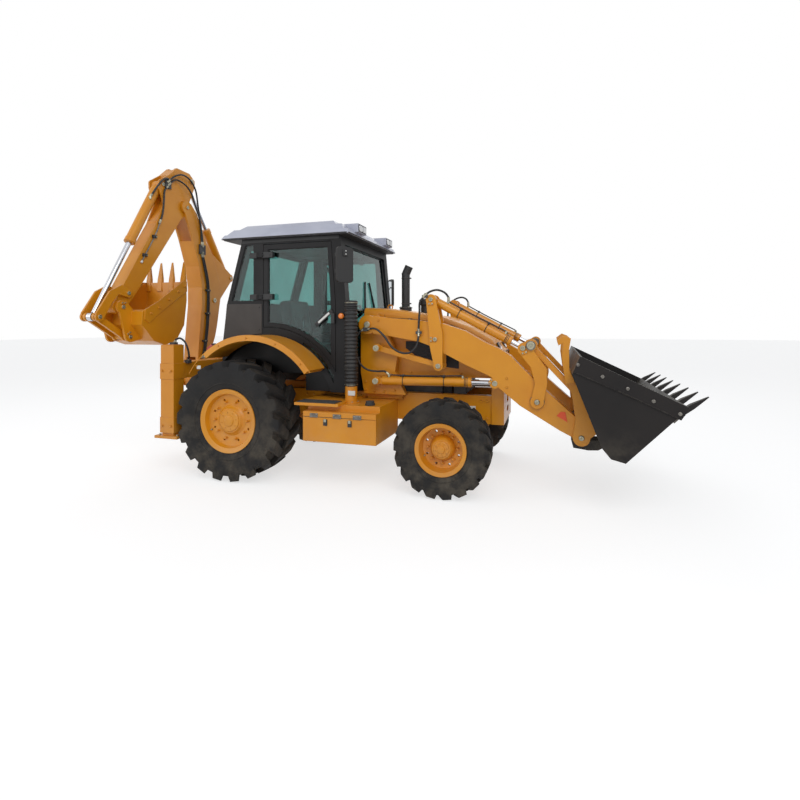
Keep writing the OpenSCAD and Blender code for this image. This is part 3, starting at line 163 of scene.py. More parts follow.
class Shape:
    """A mesh in the making, with one material slot for each finish that it uses."""

    def __init__(self, name):
        self.name = name
        self.bm = bmesh.new()
        self.finishes = []

    def add(self, verts, faces, finish, bevel=0.0, segments=2):
        """Faces of one finish, with their sharp edges bevelled."""
        if finish not in self.finishes:
            self.finishes.append(finish)
        made = [self.bm.verts.new(v) for v in verts]
        slot = self.finishes.index(finish)
        new = []
        for f in faces:
            face = self.bm.faces.new([made[i] for i in f])
            face.material_index = slot
            face.smooth = True
            new.append(face)
        if bevel:
            edges = list({e for f in new for e in f.edges
                          if e.calc_face_angle(0) > math.radians(30)})
            bmesh.ops.bevel(self.bm, geom=edges, offset=bevel, segments=segments,
                            affect="EDGES", profile=0.5, clamp_overlap=True, material=-1)

    def box(self, place, size, finish, bevel=0.004):
        """Box of a size about a place, which is a point or a matrix."""
        m = place if isinstance(place, Matrix) else Matrix.Translation(place)
        half = Vector(size) / 2
        signs = [(x, y, z) for x in (-1, 1) for y in (-1, 1) for z in (-1, 1)]
        verts = [m @ Vector((x * half.x, y * half.y, z * half.z)) for x, y, z in signs]
        faces = [(0, 1, 3, 2), (4, 6, 7, 5), (0, 4, 5, 1), (2, 3, 7, 6), (0, 2, 6, 4), (1, 5, 7, 3)]
        self.add(verts, faces, finish, min(bevel, min(size) * 0.35))

    def prism(self, place, outline, depth, finish, bevel=0.003):
        """Outline in the place's x and y, pulled out along its z from 0 to depth."""
        m = place if isinstance(place, Matrix) else Matrix.Translation(place)
        n = len(outline)
        area = sum(outline[i - 1][0] * outline[i][1] - outline[i][0] * outline[i - 1][1]
                   for i in range(n))
        ring = outline if area * depth > 0 else outline[::-1]
        verts = [m @ Vector((x, y, z)) for z in (0, depth) for x, y in ring]
        sides = [(i, (i + 1) % n, n + (i + 1) % n, n + i) for i in range(n)]
        self.add(verts, [tuple(range(n))[::-1], tuple(range(n, 2 * n))] + sides, finish, bevel)

    def turned(self, place, profile, finish, segments=32, axis=(0, 0, 1)):
        """Profile of (radius, height) pairs turned about the place's axis."""
        m = place if isinstance(place, Matrix) else facing(place, axis)
        verts, rings = [], []
        for r, h in profile:
            if r < 1e-6:
                rings.append([len(verts)] * segments)
                verts.append(m @ Vector((0, 0, h)))
                continue
            rings.append(range(len(verts), len(verts) + segments))
            for i in range(segments):
                a = 2 * math.pi * i / segments
                verts.append(m @ Vector((r * math.cos(a), r * math.sin(a), h)))
        faces = []
        for low, high in zip(rings, rings[1:]):
            for i in range(segments):
                j = (i + 1) % segments
                face = [low[i], low[j], high[j], high[i]]
                faces.append(tuple(dict.fromkeys(face)))
        for ring, flip in ((rings[0], True), (rings[-1], False)):
            if ring[0] != ring[1]:
                faces.append(tuple(reversed(ring)) if flip else tuple(ring))
        self.add(verts, [f for f in faces if len(f) > 2], finish)

    def drum(self, p, q, radius, finish, segments=24, edge=0.003):
        """Solid round bar from p to q with broken edges."""
        length = (Vector(q) - Vector(p)).length
        e = min(edge, radius * 0.4, length * 0.4)
        self.turned(Vector(p),
                    [(0, 0), (radius - e, 0), (radius, e), (radius, length - e),
                     (radius - e, length), (0, length)], finish, segments, Vector(q) - Vector(p))

    def bolt(self, p, out, size, finish, head=0.6):
        """Hexagon head with a washer, standing on p and facing out."""
        out = Vector(out).normalized()
        self.drum(p, Vector(p) + out * size * 0.18, size * 0.72, finish, 20, size * 0.05)
        m = facing(p, out)
        self.prism(m, hexagon(size * 0.58), size * (0.18 + head), finish, size * 0.06)

    def sweep(self, points, radius, finish, sides=12, closed=False):
        """Round tube along a line of points."""
        points = [Vector(p) for p in points]
        n = len(points)
        normal, verts = None, []
        for i, p in enumerate(points):
            before = points[i - 1] if i or closed else p
            after = points[(i + 1) % n] if i < n - 1 or closed else p
            along = (after - before).normalized()
            if normal is None:
                normal = along.orthogonal().normalized()
            normal = (normal - along * normal.dot(along)).normalized()
            side = along.cross(normal)
            for k in range(sides):
                a = 2 * math.pi * k / sides
                verts.append(p + radius * (math.cos(a) * normal + math.sin(a) * side))
        faces = []
        for i in range(n if closed else n - 1):
            a, b = i * sides, ((i + 1) % n) * sides
            faces += [(a + k, a + (k + 1) % sides, b + (k + 1) % sides, b + k)
                      for k in range(sides)]
        if not closed:
            faces += [tuple(range(sides))[::-1], tuple(range((n - 1) * sides, n * sides))]
        self.add(verts, faces, finish)

    def done(self, body, stands_for=(), sharp=35):
        """Finished object, riding on a body and standing for the named nodes."""
        mesh = bpy.data.meshes.new(self.name)
        bmesh.ops.recalc_face_normals(self.bm, faces=self.bm.faces)
        self.bm.to_mesh(mesh)
        self.bm.free()
        mesh.set_sharp_from_angle(angle=math.radians(sharp))
        for finish in self.finishes:
            mesh.materials.append(bpy.data.materials[FINISH_PREFIX + finish])
        made = bpy.data.objects.new(self.name, mesh)
        bpy.context.scene.collection.objects.link(made)
        if body:
            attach(made, body)
        if stands_for:
            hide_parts(*stands_for)
        return made


def smooth_path(points, per_span=6):
    """Catmull-Rom line through the points."""
    pts = [Vector(p) for p in points]
    pts = [2 * pts[0] - pts[1]] + pts + [2 * pts[-1] - pts[-2]]
    line = []
    for a, b, c, d in zip(pts, pts[1:], pts[2:], pts[3:]):
        for k in range(per_span):
            t = k / per_span
            line.append(0.5 * (2 * b + (c - a) * t + (2 * a - 5 * b + 4 * c - d) * t * t
                               + (3 * b - a - 3 * c + d) * t ** 3))
    return line + [pts[-2]]


# Finishes

def linear(r, g, b):
    """Linear colour of a screen colour given as 0 to 255."""
    return tuple((c / 255 / 12.92) if c <= 10 else ((c / 255 + 0.055) / 1.055) ** 2.4
                 for c in (r, g, b)) + (1.0,)


def new_material(name):
    """New material with its node tree and its shader."""
    material = bpy.data.materials.new(name)
    material.use_nodes = True
    return material, material.node_tree, material.node_tree.nodes["Principled BSDF"]


def new_group(name, inputs, outputs):
    """Empty shader node group with its sockets, and its input and output nodes."""
    group = bpy.data.node_groups.new(name, "ShaderNodeTree")
    for kind, label, value in inputs:
        group.interface.new_socket(label, in_out="INPUT", socket_type=kind).default_value = value
    for kind, label in outputs:
        group.interface.new_socket(label, in_out="OUTPUT", socket_type=kind)
    return group, group.nodes.new("NodeGroupInput"), group.nodes.new("NodeGroupOutput")


def new_node(tree, kind, values=None, **settings):
    """Node of a kind with its settings and the default values of its inputs."""
    node = tree.nodes.new(kind)
    for key, value in settings.items():
        setattr(node, key, value)
    for key, value in (values or {}).items():
        node.inputs[key].default_value = value
    return node


def math_node(tree, operation, a, b=None, clamp=False):
    """Math node fed by sockets or numbers, as its output."""
    node = new_node(tree, "ShaderNodeMath", operation=operation, use_clamp=clamp)
    for i, source in enumerate((a, b)):
        if isinstance(source, (int, float)):
            node.inputs[i].default_value = source
        elif source is not None:
            tree.links.new(source, node.inputs[i])
    return node.outputs[0]


def ranged(tree, source, low, high, to_low=0.0, to_high=1.0):
    """Smooth map of a value from one range to another."""
    node = new_node(tree, "ShaderNodeMapRange", {"From Min": low, "From Max": high,
                                                 "To Min": to_low, "To Max": to_high},
                    interpolation_type="SMOOTHSTEP")
    tree.links.new(source, node.inputs["Value"])
    return node.outputs["Result"]


def noise(tree, vector, scale, detail=3.0, rough=0.55):
    """Noise value over a vector."""
    node = new_node(tree, "ShaderNodeTexNoise", {"Detail": detail, "Roughness": rough})
    if isinstance(scale, (int, float)):
        node.inputs["Scale"].default_value = scale
    else:
        tree.links.new(scale, node.inputs["Scale"])
    tree.links.new(vector, node.inputs["Vector"])
    return node.outputs["Fac"]


def blend_colours(tree, factor, a, b):
    """Mix of two colours given as sockets or values."""
    node = new_node(tree, "ShaderNodeMix", data_type="RGBA")
    for index, source in ((0, factor), (6, a), (7, b)):
        if isinstance(source, bpy.types.NodeSocket):
            tree.links.new(source, node.inputs[index])
        else:
            node.inputs[index].default_value = source
    return node.outputs[2]


def build_edge_group():
    """Mask of the worn outer edges, and a normal that rounds them."""
    group, inlet, outlet = new_group("edge_wear", [
        ("NodeSocketFloat", "Radius", 0.006), ("NodeSocketFloat", "Grit", 40.0)],
        [("NodeSocketFloat", "Mask"), ("NodeSocketVector", "Normal")])
    bevel = new_node(group, "ShaderNodeBevel", samples=6)
    geometry = new_node(group, "ShaderNodeNewGeometry")
    dot = new_node(group, "ShaderNodeVectorMath", operation="DOT_PRODUCT")
    coords = new_node(group, "ShaderNodeTexCoord")
    group.links.new(inlet.outputs["Radius"], bevel.inputs["Radius"])
    group.links.new(bevel.outputs["Normal"], dot.inputs[0])
    group.links.new(geometry.outputs["True Normal"], dot.inputs[1])
    turned = ranged(group, dot.outputs["Value"], 0.985, 0.78)
    grit = ranged(group, noise(group, coords.outputs["Object"], inlet.outputs["Grit"], 4.0, 0.7),
                  0.45, 0.62)
    group.links.new(math_node(group, "MULTIPLY", turned, grit), outlet.inputs["Mask"])
    group.links.new(bevel.outputs["Normal"], outlet.inputs["Normal"])


def build_dust_group():
    """Mask of dust: on faces that look up, low on the machine, broken up by noise."""
    group, inlet, outlet = new_group("dust", [
        ("NodeSocketFloat", "Amount", 0.3), ("NodeSocketFloat", "Splash", 0.9)],
        [("NodeSocketFloat", "Mask")])
    geometry = new_node(group, "ShaderNodeNewGeometry")
    coords = new_node(group, "ShaderNodeTexCoord")
    split = new_node(group, "ShaderNodeSeparateXYZ")
    group.links.new(geometry.outputs["Normal"], split.inputs[0])
    place = new_node(group, "ShaderNodeSeparateXYZ")
    group.links.new(coords.outputs["Object"], place.inputs[0])
    tops = ranged(group, split.outputs["Z"], 0.3, 1.0, 0.0, 0.6)
    low = ranged(group, math_node(group, "DIVIDE", place.outputs["Z"], inlet.outputs["Splash"]),
                 1.0, 0.1)
    clouds = ranged(group, noise(group, coords.outputs["Object"], 5.0, 6.0, 0.65), 0.35, 0.7)
    both = math_node(group, "MAXIMUM", tops, low)
    masked = math_node(group, "MULTIPLY", math_node(group, "MULTIPLY", both, clouds),
                       inlet.outputs["Amount"])
    group.links.new(math_node(group, "MINIMUM", masked, 1.0), outlet.inputs["Mask"])


def build_mottle_group():
    """Slow change of a colour over the surface, with faint speckle."""
    group, inlet, outlet = new_group("mottle",
                                     [("NodeSocketColor", "Main", (0.5, 0.5, 0.5, 1)),
                                      ("NodeSocketColor", "Other", (0.4, 0.4, 0.4, 1)),
                                      ("NodeSocketFloat", "Scale", 2.0)],
                                     [("NodeSocketColor", "Colour"), ("NodeSocketFloat", "Value")])
    coords = new_node(group, "ShaderNodeTexCoord")
    slow = ranged(group, noise(group, coords.outputs["Object"], inlet.outputs["Scale"], 3.0), 0.3,
                  0.7)
    fine = noise(group, coords.outputs["Object"], 180.0, 2.0)
    value = math_node(group, "ADD", math_node(group, "MULTIPLY", slow, 0.8),
                      math_node(group, "MULTIPLY", fine, 0.2), True)
    group.links.new(blend_colours(group, value, inlet.outputs["Main"], inlet.outputs["Other"]),
                    outlet.inputs["Colour"])
    group.links.new(value, outlet.inputs["Value"])


def build_grain_group():
    """Height of the fine texture of a moulded or sprayed surface."""
    group, inlet, outlet = new_group("grain", [
        ("NodeSocketFloat", "Scale", 300.0), ("NodeSocketFloat", "Waves", 12.0)],
        [("NodeSocketFloat", "Height")])
    coords = new_node(group, "ShaderNodeTexCoord")
    fine = noise(group, coords.outputs["Object"], inlet.outputs["Scale"], 2.0)
    wide = noise(group, coords.outputs["Object"], inlet.outputs["Waves"], 2.0)
    total = math_node(group, "ADD", math_node(group, "MULTIPLY", fine, 0.5),
                      math_node(group, "MULTIPLY", wide, 0.5))
    group.links.new(total, outlet.inputs["Height"])


def place_group(tree, name, **values):
    """Group node in a material with its own values."""
    node = new_node(tree, "ShaderNodeGroup", node_tree=bpy.data.node_groups[name])
    for key, value in values.items():
        node.inputs[key].default_value = value
    return node


def finish_material(name, main, other, rough, metallic=0.0, coat=0.0, mottle=2.0, wear=0.0,
                    wear_colour=(0.35, 0.33, 0.3, 1), dust=0.25, dust_colour=(0.42, 0.36, 0.27, 1),
                    grain=300.0, waves=12.0, depth=0.02, radius=0.006, splash=0.9, sheen=0.0,
                    gloss=0.5):
    """Painted, moulded or cast finish out of the shared groups."""
    _, tree, shader = new_material(FINISH_PREFIX + name)
    shader.inputs["Metallic"].default_value = metallic
    shader.inputs["Coat Weight"].default_value = coat
    shader.inputs["Coat Roughness"].default_value = 0.12
    shader.inputs["Sheen Weight"].default_value = sheen
    shader.inputs["Specular IOR Level"].default_value = gloss
    base = place_group(tree, "mottle", Main=main, Other=other, Scale=mottle)
    edge = place_group(tree, "edge_wear", Radius=radius)
    dusty = place_group(tree, "dust", Amount=dust, Splash=splash)
    grainy = place_group(tree, "grain", Scale=grain, Waves=waves)
    worn = math_node(tree, "MULTIPLY", edge.outputs["Mask"], wear)
    colour = blend_colours(tree, worn, base.outputs["Colour"], wear_colour)
    colour = blend_colours(tree, dusty.outputs["Mask"], colour, dust_colour)
    tree.links.new(colour, shader.inputs["Base Color"])
    varied = ranged(tree, base.outputs["Value"], 0.0, 1.0, rough - 0.05, rough + 0.07)
    dull = math_node(tree, "MULTIPLY", dusty.outputs["Mask"], 0.4)
    tree.links.new(math_node(tree, "ADD", varied, dull, True), shader.inputs["Roughness"])
    bump = new_node(tree, "ShaderNodeBump", {"Strength": 0.5, "Distance": depth})
    tree.links.new(grainy.outputs["Height"], bump.inputs["Height"])
    tree.links.new(edge.outputs["Normal"], bump.inputs["Normal"])
    tree.links.new(bump.outputs["Normal"], shader.inputs["Normal"])
    return tree


def glass_material(name, tint):
    """Tinted pane that lets light through, with a faint film."""
    _, tree, shader = new_material(FINISH_PREFIX + name)
    shader.inputs["Transmission Weight"].default_value = 1.0
    shader.inputs["IOR"].default_value = 1.1
    shader.inputs["Coat Weight"].default_value = 0.6
    shader.inputs["Coat Roughness"].default_value = 0.03
    coords = new_node(tree, "ShaderNodeTexCoord")
    film = ranged(tree, noise(tree, coords.outputs["Object"], 3.0, 4.0), 0.35, 0.75)
    darker = tuple(c * 0.86 for c in tint[:3]) + (1,)
    tree.links.new(blend_colours(tree, film, tint, darker), shader.inputs["Base Color"])
    shader.inputs["Roughness"].default_value = 0.0


def lens_material(name, colour, strength=0.0):
    """Lamp lens with fine vertical flutes."""
    _, tree, shader = new_material(FINISH_PREFIX + name)
    shader.inputs["Roughness"].default_value = 0.12
    shader.inputs["Coat Weight"].default_value = 0.8
    shader.inputs["Transmission Weight"].default_value = 0.25
    coords = new_node(tree, "ShaderNodeTexCoord")
    wave = new_node(tree, "ShaderNodeTexWave", {"Scale": 60.0, "Distortion": 0.0})
    tree.links.new(coords.outputs["Object"], wave.inputs["Vector"])
    darker = tuple(c * 0.6 for c in colour[:3]) + (1,)
    tree.links.new(blend_colours(tree, wave.outputs["Fac"], colour, darker),
                   shader.inputs["Base Color"])
    if strength:
        shader.inputs["Emission Color"].default_value = colour
        shader.inputs["Emission Strength"].default_value = strength
    bump = new_node(tree, "ShaderNodeBump", {"Strength": 0.4, "Distance": 0.002})
    tree.links.new(wave.outputs["Fac"], bump.inputs["Height"])
    tree.links.new(bump.outputs["Normal"], shader.inputs["Normal"])


def cloth_material(name, main, other):
    """Woven seat cloth."""
    tree = finish_material(name, main, other, 0.85, mottle=9.0, dust=0.1, grain=900.0, waves=60.0,
                           depth=0.002, sheen=0.3)
    coords = new_node(tree, "ShaderNodeTexCoord")
    threads = [new_node(tree, "ShaderNodeTexWave", {"Scale": 260.0}, bands_direction=d)
               for d in "XZ"]
    for node in threads:
        tree.links.new(coords.outputs["Object"], node.inputs["Vector"])
    weave = math_node(tree, "ADD", threads[0].outputs["Fac"], threads[1].outputs["Fac"])
    bump = next(n for n in tree.nodes if n.type == "BUMP")
    tree.links.new(weave, bump.inputs["Height"])


class LooksSettings(bpy.types.PropertyGroup):
    """Sizes and colours of the machine's looks."""

    paint: FloatVectorProperty(
        name="Machine paint", description="Colour of the painted steel", subtype="COLOR", size=4,
        min=0, max=1, default=linear(218, 145, 16))
    paint_shade: FloatVectorProperty(
        name="Paint shade", description="Darker tone that the paint drifts to", subtype="COLOR",
        size=4, min=0, max=1, default=linear(206, 131, 14))
    bucket_paint: FloatVectorProperty(
        name="Bucket paint", description="Colour of the loader bucket", subtype="COLOR", size=4,
        min=0, max=1, default=linear(30, 26, 25))
    cab_black: FloatVectorProperty(name="Cab black",
                                   description="Colour of the cab's frame and doors",
                                   subtype="COLOR", size=4, min=0, max=1,
                                   default=linear(20, 19, 20))
    roof_grey: FloatVectorProperty(
        name="Roof grey", description="Colour of the moulded roof", subtype="COLOR", size=4,
        min=0, max=1, default=linear(188, 191, 204))
    glass_tint: FloatVectorProperty(
        name="Glass tint", description="Tint of the windows", subtype="COLOR", size=4, min=0, max=1,
        default=linear(140, 184, 180))
    hose_radius: FloatProperty(
        name="Hose radius", description="Radius of the hydraulic hoses", subtype="DISTANCE",
        unit="LENGTH", min=0.006, max=0.02, default=0.011)
    bolt_size: FloatProperty(
        name="Bolt size", description="Thread size of the frame's bolts", subtype="DISTANCE",
        unit="LENGTH", min=0.01, max=0.04, default=0.02)
    lugs: IntProperty(
        name="Lugs", description="Lugs on each half of a tyre", min=14, max=24, default=18)
    lug_steps: IntProperty(
        name="Lug steps", description="Sections along a tyre lug", min=3, max=9, default=5)
    floor_size: FloatProperty(name="Floor size", description="Edge length of the floor",
                              subtype="DISTANCE", unit="LENGTH", min=20, max=400, default=120)
    key_power: FloatProperty(name="Key light", description="Strength of the large soft light",
                             min=0, max=5000, default=400)


def build_finishes(s):
    """Every material, and the finish of each node."""
    for build in (build_edge_group, build_dust_group, build_mottle_group, build_grain_group):
        build()
    steel_edge = linear(120, 112, 100)
    paint = tuple(s.paint)
    paint_shade = tuple(s.paint_shade)
    finish_material("paint", paint, paint_shade, 0.38, coat=0.15, wear=0.35,
                    wear_colour=linear(150, 105, 50), dust=0.22, depth=0.0006, waves=40.0)
    finish_material("bucket_black", tuple(s.bucket_paint), linear(22, 20, 20), 0.5, wear=0.7,
                    wear_colour=steel_edge, dust=0.28, depth=0.001, gloss=0.25)
    finish_material("cab_black", tuple(s.cab_black), linear(15, 15, 17), 0.45, wear=0.1,
                    wear_colour=linear(60, 60, 62), dust=0.12, depth=0.0004, gloss=0.25)
    finish_material("moulded_black", linear(32, 32, 33), linear(42, 42, 43), 0.6, wear=0.2,
                    wear_colour=linear(80, 80, 82), dust=0.25, grain=500.0, depth=0.0012)
    finish_material("lower_panel", linear(52, 46, 42), linear(42, 38, 35), 0.55, wear=0.1,
                    wear_colour=linear(90, 86, 82), dust=0.25, grain=500.0, depth=0.0008)
    finish_material("roof_grey", tuple(s.roof_grey), linear(168, 171, 186), 0.4, coat=0.15,
                    wear=0.1, wear_colour=linear(190, 190, 195), dust=0.2, depth=0.0006)
    finish_material("rubber", linear(27, 27, 28), linear(37, 36, 36), 0.78, mottle=6.0, wear=0.3,
                    wear_colour=linear(74, 72, 68), dust=0.55, dust_colour=linear(112, 104, 92),
                    grain=220.0, depth=0.0012, splash=1.3, gloss=0.3)
    finish_material("hose_rubber", linear(22, 22, 23), linear(34, 34, 35), 0.55, mottle=20.0,
                    dust=0.2, grain=900.0, depth=0.0006, radius=0.001)
    finish_material("chrome", linear(205, 206, 210), linear(190, 192, 198), 0.14, metallic=1.0,
                    dust=0.06, depth=0.0001, grain=900.0, radius=0.002)
    finish_material("bare_steel", linear(128, 124, 118), linear(92, 88, 84), 0.42, metallic=0.85,
                    wear=0.5, wear_colour=linear(190, 188, 184), mottle=14.0, dust=0.3,
                    depth=0.0006)
    finish_material("zinc", linear(176, 172, 150), linear(150, 146, 128), 0.35, metallic=0.9,
                    mottle=40.0, dust=0.15, depth=0.0003, radius=0.002)
    finish_material("casting", linear(66, 66, 68), linear(50, 49, 48), 0.62, mottle=8.0, wear=0.3,
                    dust=0.5, grain=260.0, depth=0.002)
    finish_material("trim_grey", linear(86, 87, 92), linear(74, 75, 80), 0.55, dust=0.15,
                    grain=520.0, depth=0.0008)
    finish_material("bare_plate", linear(226, 226, 222), linear(210, 210, 206), 0.5, dust=0.15,
                    depth=0.0002)
    cloth_material("seat_cloth", linear(48, 49, 54), linear(36, 37, 41))
    glass_material("window_glass", tuple(s.glass_tint))
    finish_material("mirror_glass", linear(200, 206, 210), linear(190, 196, 202), 0.05,
                    metallic=1.0, dust=0.05, depth=0.00005)
    lens_material("amber_lens", linear(245, 130, 20), 0.25)
    lens_material("red_lens", linear(190, 20, 16), 0.15)
    lens_material("clear_lens", linear(225, 228, 230))
    finish_material("reflector", linear(232, 84, 30), linear(220, 70, 24), 0.3, dust=0.1,
                    grain=1200.0, depth=0.0004)
    for node, solid in frame["nodes"].items():
        shown = solid.data
        shown.materials.clear()
        shown.materials.append(bpy.data.materials[FINISH_PREFIX + NODE_FINISH.get(node, "paint")])


# Finishes of the nodes that aren't in the machine's paint
NODE_FINISH = {"engine": "casting", "exhaust": "moulded_black", "cab_frame": "cab_black",
               "cab_windows": "window_glass", "roof": "roof_grey", "interior": "trim_grey",
               "lamps_mirrors": "moulded_black", "tyre_rear_right": "rubber",
               "tyre_rear_left": "rubber", "tyre_front_right": "rubber",
               "tyre_front_left": "rubber", "door_right": "cab_black", "door_left": "cab_black",
               "door_glass_right": "window_glass", "door_glass_left": "window_glass",
               "lift_rods": "chrome", "tilt_rods": "chrome", "lever_pins": "bare_steel",
               "link_pins": "bare_steel", "bucket_pins": "bare_steel",
               "loader_bucket": "bucket_black", "boom_rod": "chrome", "dipper_rod": "chrome",
               "bucket_rod": "chrome"}


# Tyres

# Radius of the rear tyres, for which the sizes of the tread are given
REAR_RADIUS = 0.655


def tyre_profile(r, w, bead_r):
    """Carcass as (radius, sideways) pairs from bead to bead, up to the foot of the lugs."""
    crown = r - 0.062 * r / REAR_RADIUS
    half = [(bead_r - 0.004, 0.36 * w), (bead_r + 0.02 * r, 0.385 * w),
            (bead_r + 0.1 * r, 0.44 * w), (0.5 * (bead_r + r), 0.492 * w),
            (bead_r + 0.66 * (r - bead_r), 0.494 * w), (bead_r + 0.8 * (r - bead_r), 0.475 * w),
            (crown - 0.012 * r, 0.43 * w), (crown, 0.33 * w), (crown + 0.006 * r, 0.15 * w)]
    return half + [(crown + 0.008 * r, 0)] + [(q, -y) for q, y in reversed(half)]


def build_tyre(name, hub, r, w, bead_r, lug, slant, lugs, steps):
    """Tyre with a round carcass and two staggered rows of curved lugs."""
    shape = Shape(name)
    profile = tyre_profile(r, w, bead_r)
    segments = 96
    axis = Matrix.Translation(hub) @ spun(-90, "X")
    verts = []
    n = len(profile)
    faces = []
    for i in range(segments):
        a = 2 * math.pi * i / segments
        verts += [axis @ Vector((q * math.cos(a), q * math.sin(a), y)) for q, y in profile]
        j = (i + 1) % segments
        faces += [(i * n + k, i * n + (k + 1) % n, j * n + (k + 1) % n, j * n + k)
                  for k in range(n)]
    shape.add(verts, faces, "rubber")
    pitch = 360 / lugs
    for side in (-1, 1):
        for i in range(lugs):
            shape_lug(shape, axis, r, w, lug, slant, pitch * (i + (0.5 if side > 0 else 0)), side,
                      steps, pitch)
    for side in (-1, 1):
        for radius in (bead_r + 0.012 * r, bead_r + 0.3 * (r - bead_r)):
            ring = [axis @ p for p in circle(radius, side * wall_y(profile, radius), 72)]
            shape.sweep(ring, 0.006, "rubber", 6, closed=True)
    return shape


def wall_y(profile, radius):
    """Sideways place of a tyre's wall at a radius."""
    half = profile[:9]
    for (r0, y0), (r1, y1) in zip(half, half[1:]):
        if r0 <= radius <= r1:
            return y0 + (y1 - y0) * (radius - r0) / (r1 - r0)
    return half[3][1]


def shape_lug(shape, axis, r, w, lug, slant, start, side, steps, pitch):
    """One lug, from near the middle out over the shoulder."""
    stations = []
    for k in range(steps + 1):
        t = k / steps
        y = side * (0.02 + 0.45 * t) * w
        top = r - 0.002 - 0.05 * r * max(0.0, t - 0.82)
        foot = r - lug * 1.75 - 0.02 * r * t
        middle = start + pitch * 0.35 + slant * (0.5 - t * 0.97)
        half_top = pitch * (0.2 + 0.05 * t)
        half_foot = half_top + 2.6
        stations.append([(foot, middle - half_foot, y), (top, middle - half_top, y),
                         (top, middle + half_top, y), (foot, middle + half_foot, y)])
    y_end = side * 0.492 * w
    foot = r - lug * 2.6
    last = start + pitch * 0.35 + slant * -0.5
    half = pitch * 0.26
    stations.append([(foot, last - half - 2, side * 0.488 * w),
                     (r - 0.022 - 0.01 * r, last - half, y_end),
                     (r - 0.022 - 0.01 * r, last + half, y_end),
                     (foot, last + half + 2, side * 0.488 * w)])
    verts = []
    for ring in stations:
        for q, a, y in ring:
            a = math.radians(a)
            verts.append(axis @ Vector((q * math.cos(a), q * math.sin(a), y)))
    faces = []
    for k in range(len(stations) - 1):
        a, b = k * 4, (k + 1) * 4
        faces += [(a + i, a + (i + 1) % 4, b + (i + 1) % 4, b + i) for i in range(4)]
    faces += [(0, 1, 2, 3), tuple(len(verts) - 1 - i for i in range(4))]
    shape.add(verts, faces, "rubber", 0.004 * r / REAR_RADIUS + 0.002, 1)


def build_tyres(s):
    """The four tyres over their plain solids."""
    for side in SIDES:
        for end, slant in (("rear", 14), ("front", 12)):
            node = f"tyre_{end}_{side}"
            low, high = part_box(node)
            r, w = (high.z - low.z) / 2, high.y - low.y
            hub = (low + high) / 2
            bead_r = 0.4733 * r if end == "rear" else 0.4813 * r
            lug = 0.061 * r
            shape = build_tyre(f"tyre_{end}_{side}_rubber", hub, r, w, bead_r, lug, slant, s.lugs,
                               s.lug_steps)
            shape.done(f"wheel_{end}_{side}", [node], 40)


# Loader trim

# Face planes of the loader, sideways from the middle
ARM_FACE = 0.650
BOSS_FACE = 0.668
LEVER_FACE = 0.685
EYE_FACE = 0.693
ARM_MIDDLE = 0.590
# Radii of the pins in the tower and in the levers
TOWER_PIN = 0.034
LEVER_PIN = 0.022
# Holes of the pins' keeper plates, and how far a backhoe plate lies behind its pin's end
KEEPER_HOLES = (-0.017, 0.017)
KEEPER_SINK = 0.006
# Pins that no joint gives, forward and up
LIFT_PIN = (2.810, 1.104)
LEVER_LOW = (2.231, 1.269)
TILT_PIN = (3.089, 1.468)
# Turns a face drawn in x and y so that it looks along x, with its own y upwards
UPRIGHT = Matrix(((0, 0, 1, 0), (1, 0, 0, 0), (0, 1, 0, 0), (0, 0, 0, 1)))


def pin_place(joint):
    """Forward and up of a hinge, from the frame."""
    return PINS[joint].x - AXLE.x, PINS[joint].z


def pin_end(shape, p, out, radius, stand=0.006):
    """Bright end of a pin with a turned recess and a grease nipple, standing on p."""
    out = Vector(out)
    shape.turned(p,
                 [(0, 0), (radius, 0), (radius, stand * 0.6), (radius - 0.003, stand),
                  (radius * 0.5, stand), (radius * 0.42, stand * 0.4), (0, stand * 0.4)], "zinc",
                 28, out)
    shape.drum(p, p + out * (stand + 0.008), 0.0045, "zinc", 10)


def keeper(shape, m, side):
    """Flat plate with two bolts on a face that m's y leaves, so that a pin can't slide out."""
    shape.box(m @ shifted(0, side * 0.005, 0), (0.030, 0.010, 0.058), "paint", 0.003)
    for z in KEEPER_HOLES:
        shape.bolt(m @ Vector((0, side * 0.010, z)), (0, side, 0), PLATE_BOLT, "zinc")


def loader_pins():
    """Body, place, face and radius of each loader pin, with its keeper's face, angle and reach."""
    return [("machine", pin_place("lift"), BOSS_FACE, TOWER_PIN, None),
            ("machine", pin_place("level_link_turn"), BOSS_FACE, TOWER_PIN, None),
            ("machine", pin_place("lift_barrel_turn"), BOSS_FACE, TOWER_PIN, None),
            ("rear_levers", pin_place("rear_lever_turn"), EYE_FACE + 0.004, LEVER_PIN,
             (LEVER_FACE, 180, 0.042)),
            ("rear_levers", pin_place("tilt_barrel_turn"), EYE_FACE, LEVER_PIN,
             (LEVER_FACE, -90, 0.045)),
            ("rear_levers", LEVER_LOW, EYE_FACE, 0.026, None),
            ("front_levers", TILT_PIN, EYE_FACE, 0.026, (LEVER_FACE, -70, 0.048)),
            ("lever_pins", pin_place("lever_pin_turn"), EYE_FACE + 0.004, LEVER_PIN, None),
            ("link_pins", pin_place("link_pin_turn"), EYE_FACE + 0.020, 0.038, None),
            ("bucket_pins", pin_place("bucket_pin_turn"), EYE_FACE, LEVER_PIN, None),
            ("loader_arms", LIFT_PIN, ARM_FACE, 0.028, (ARM_FACE, 150, 0.045))]


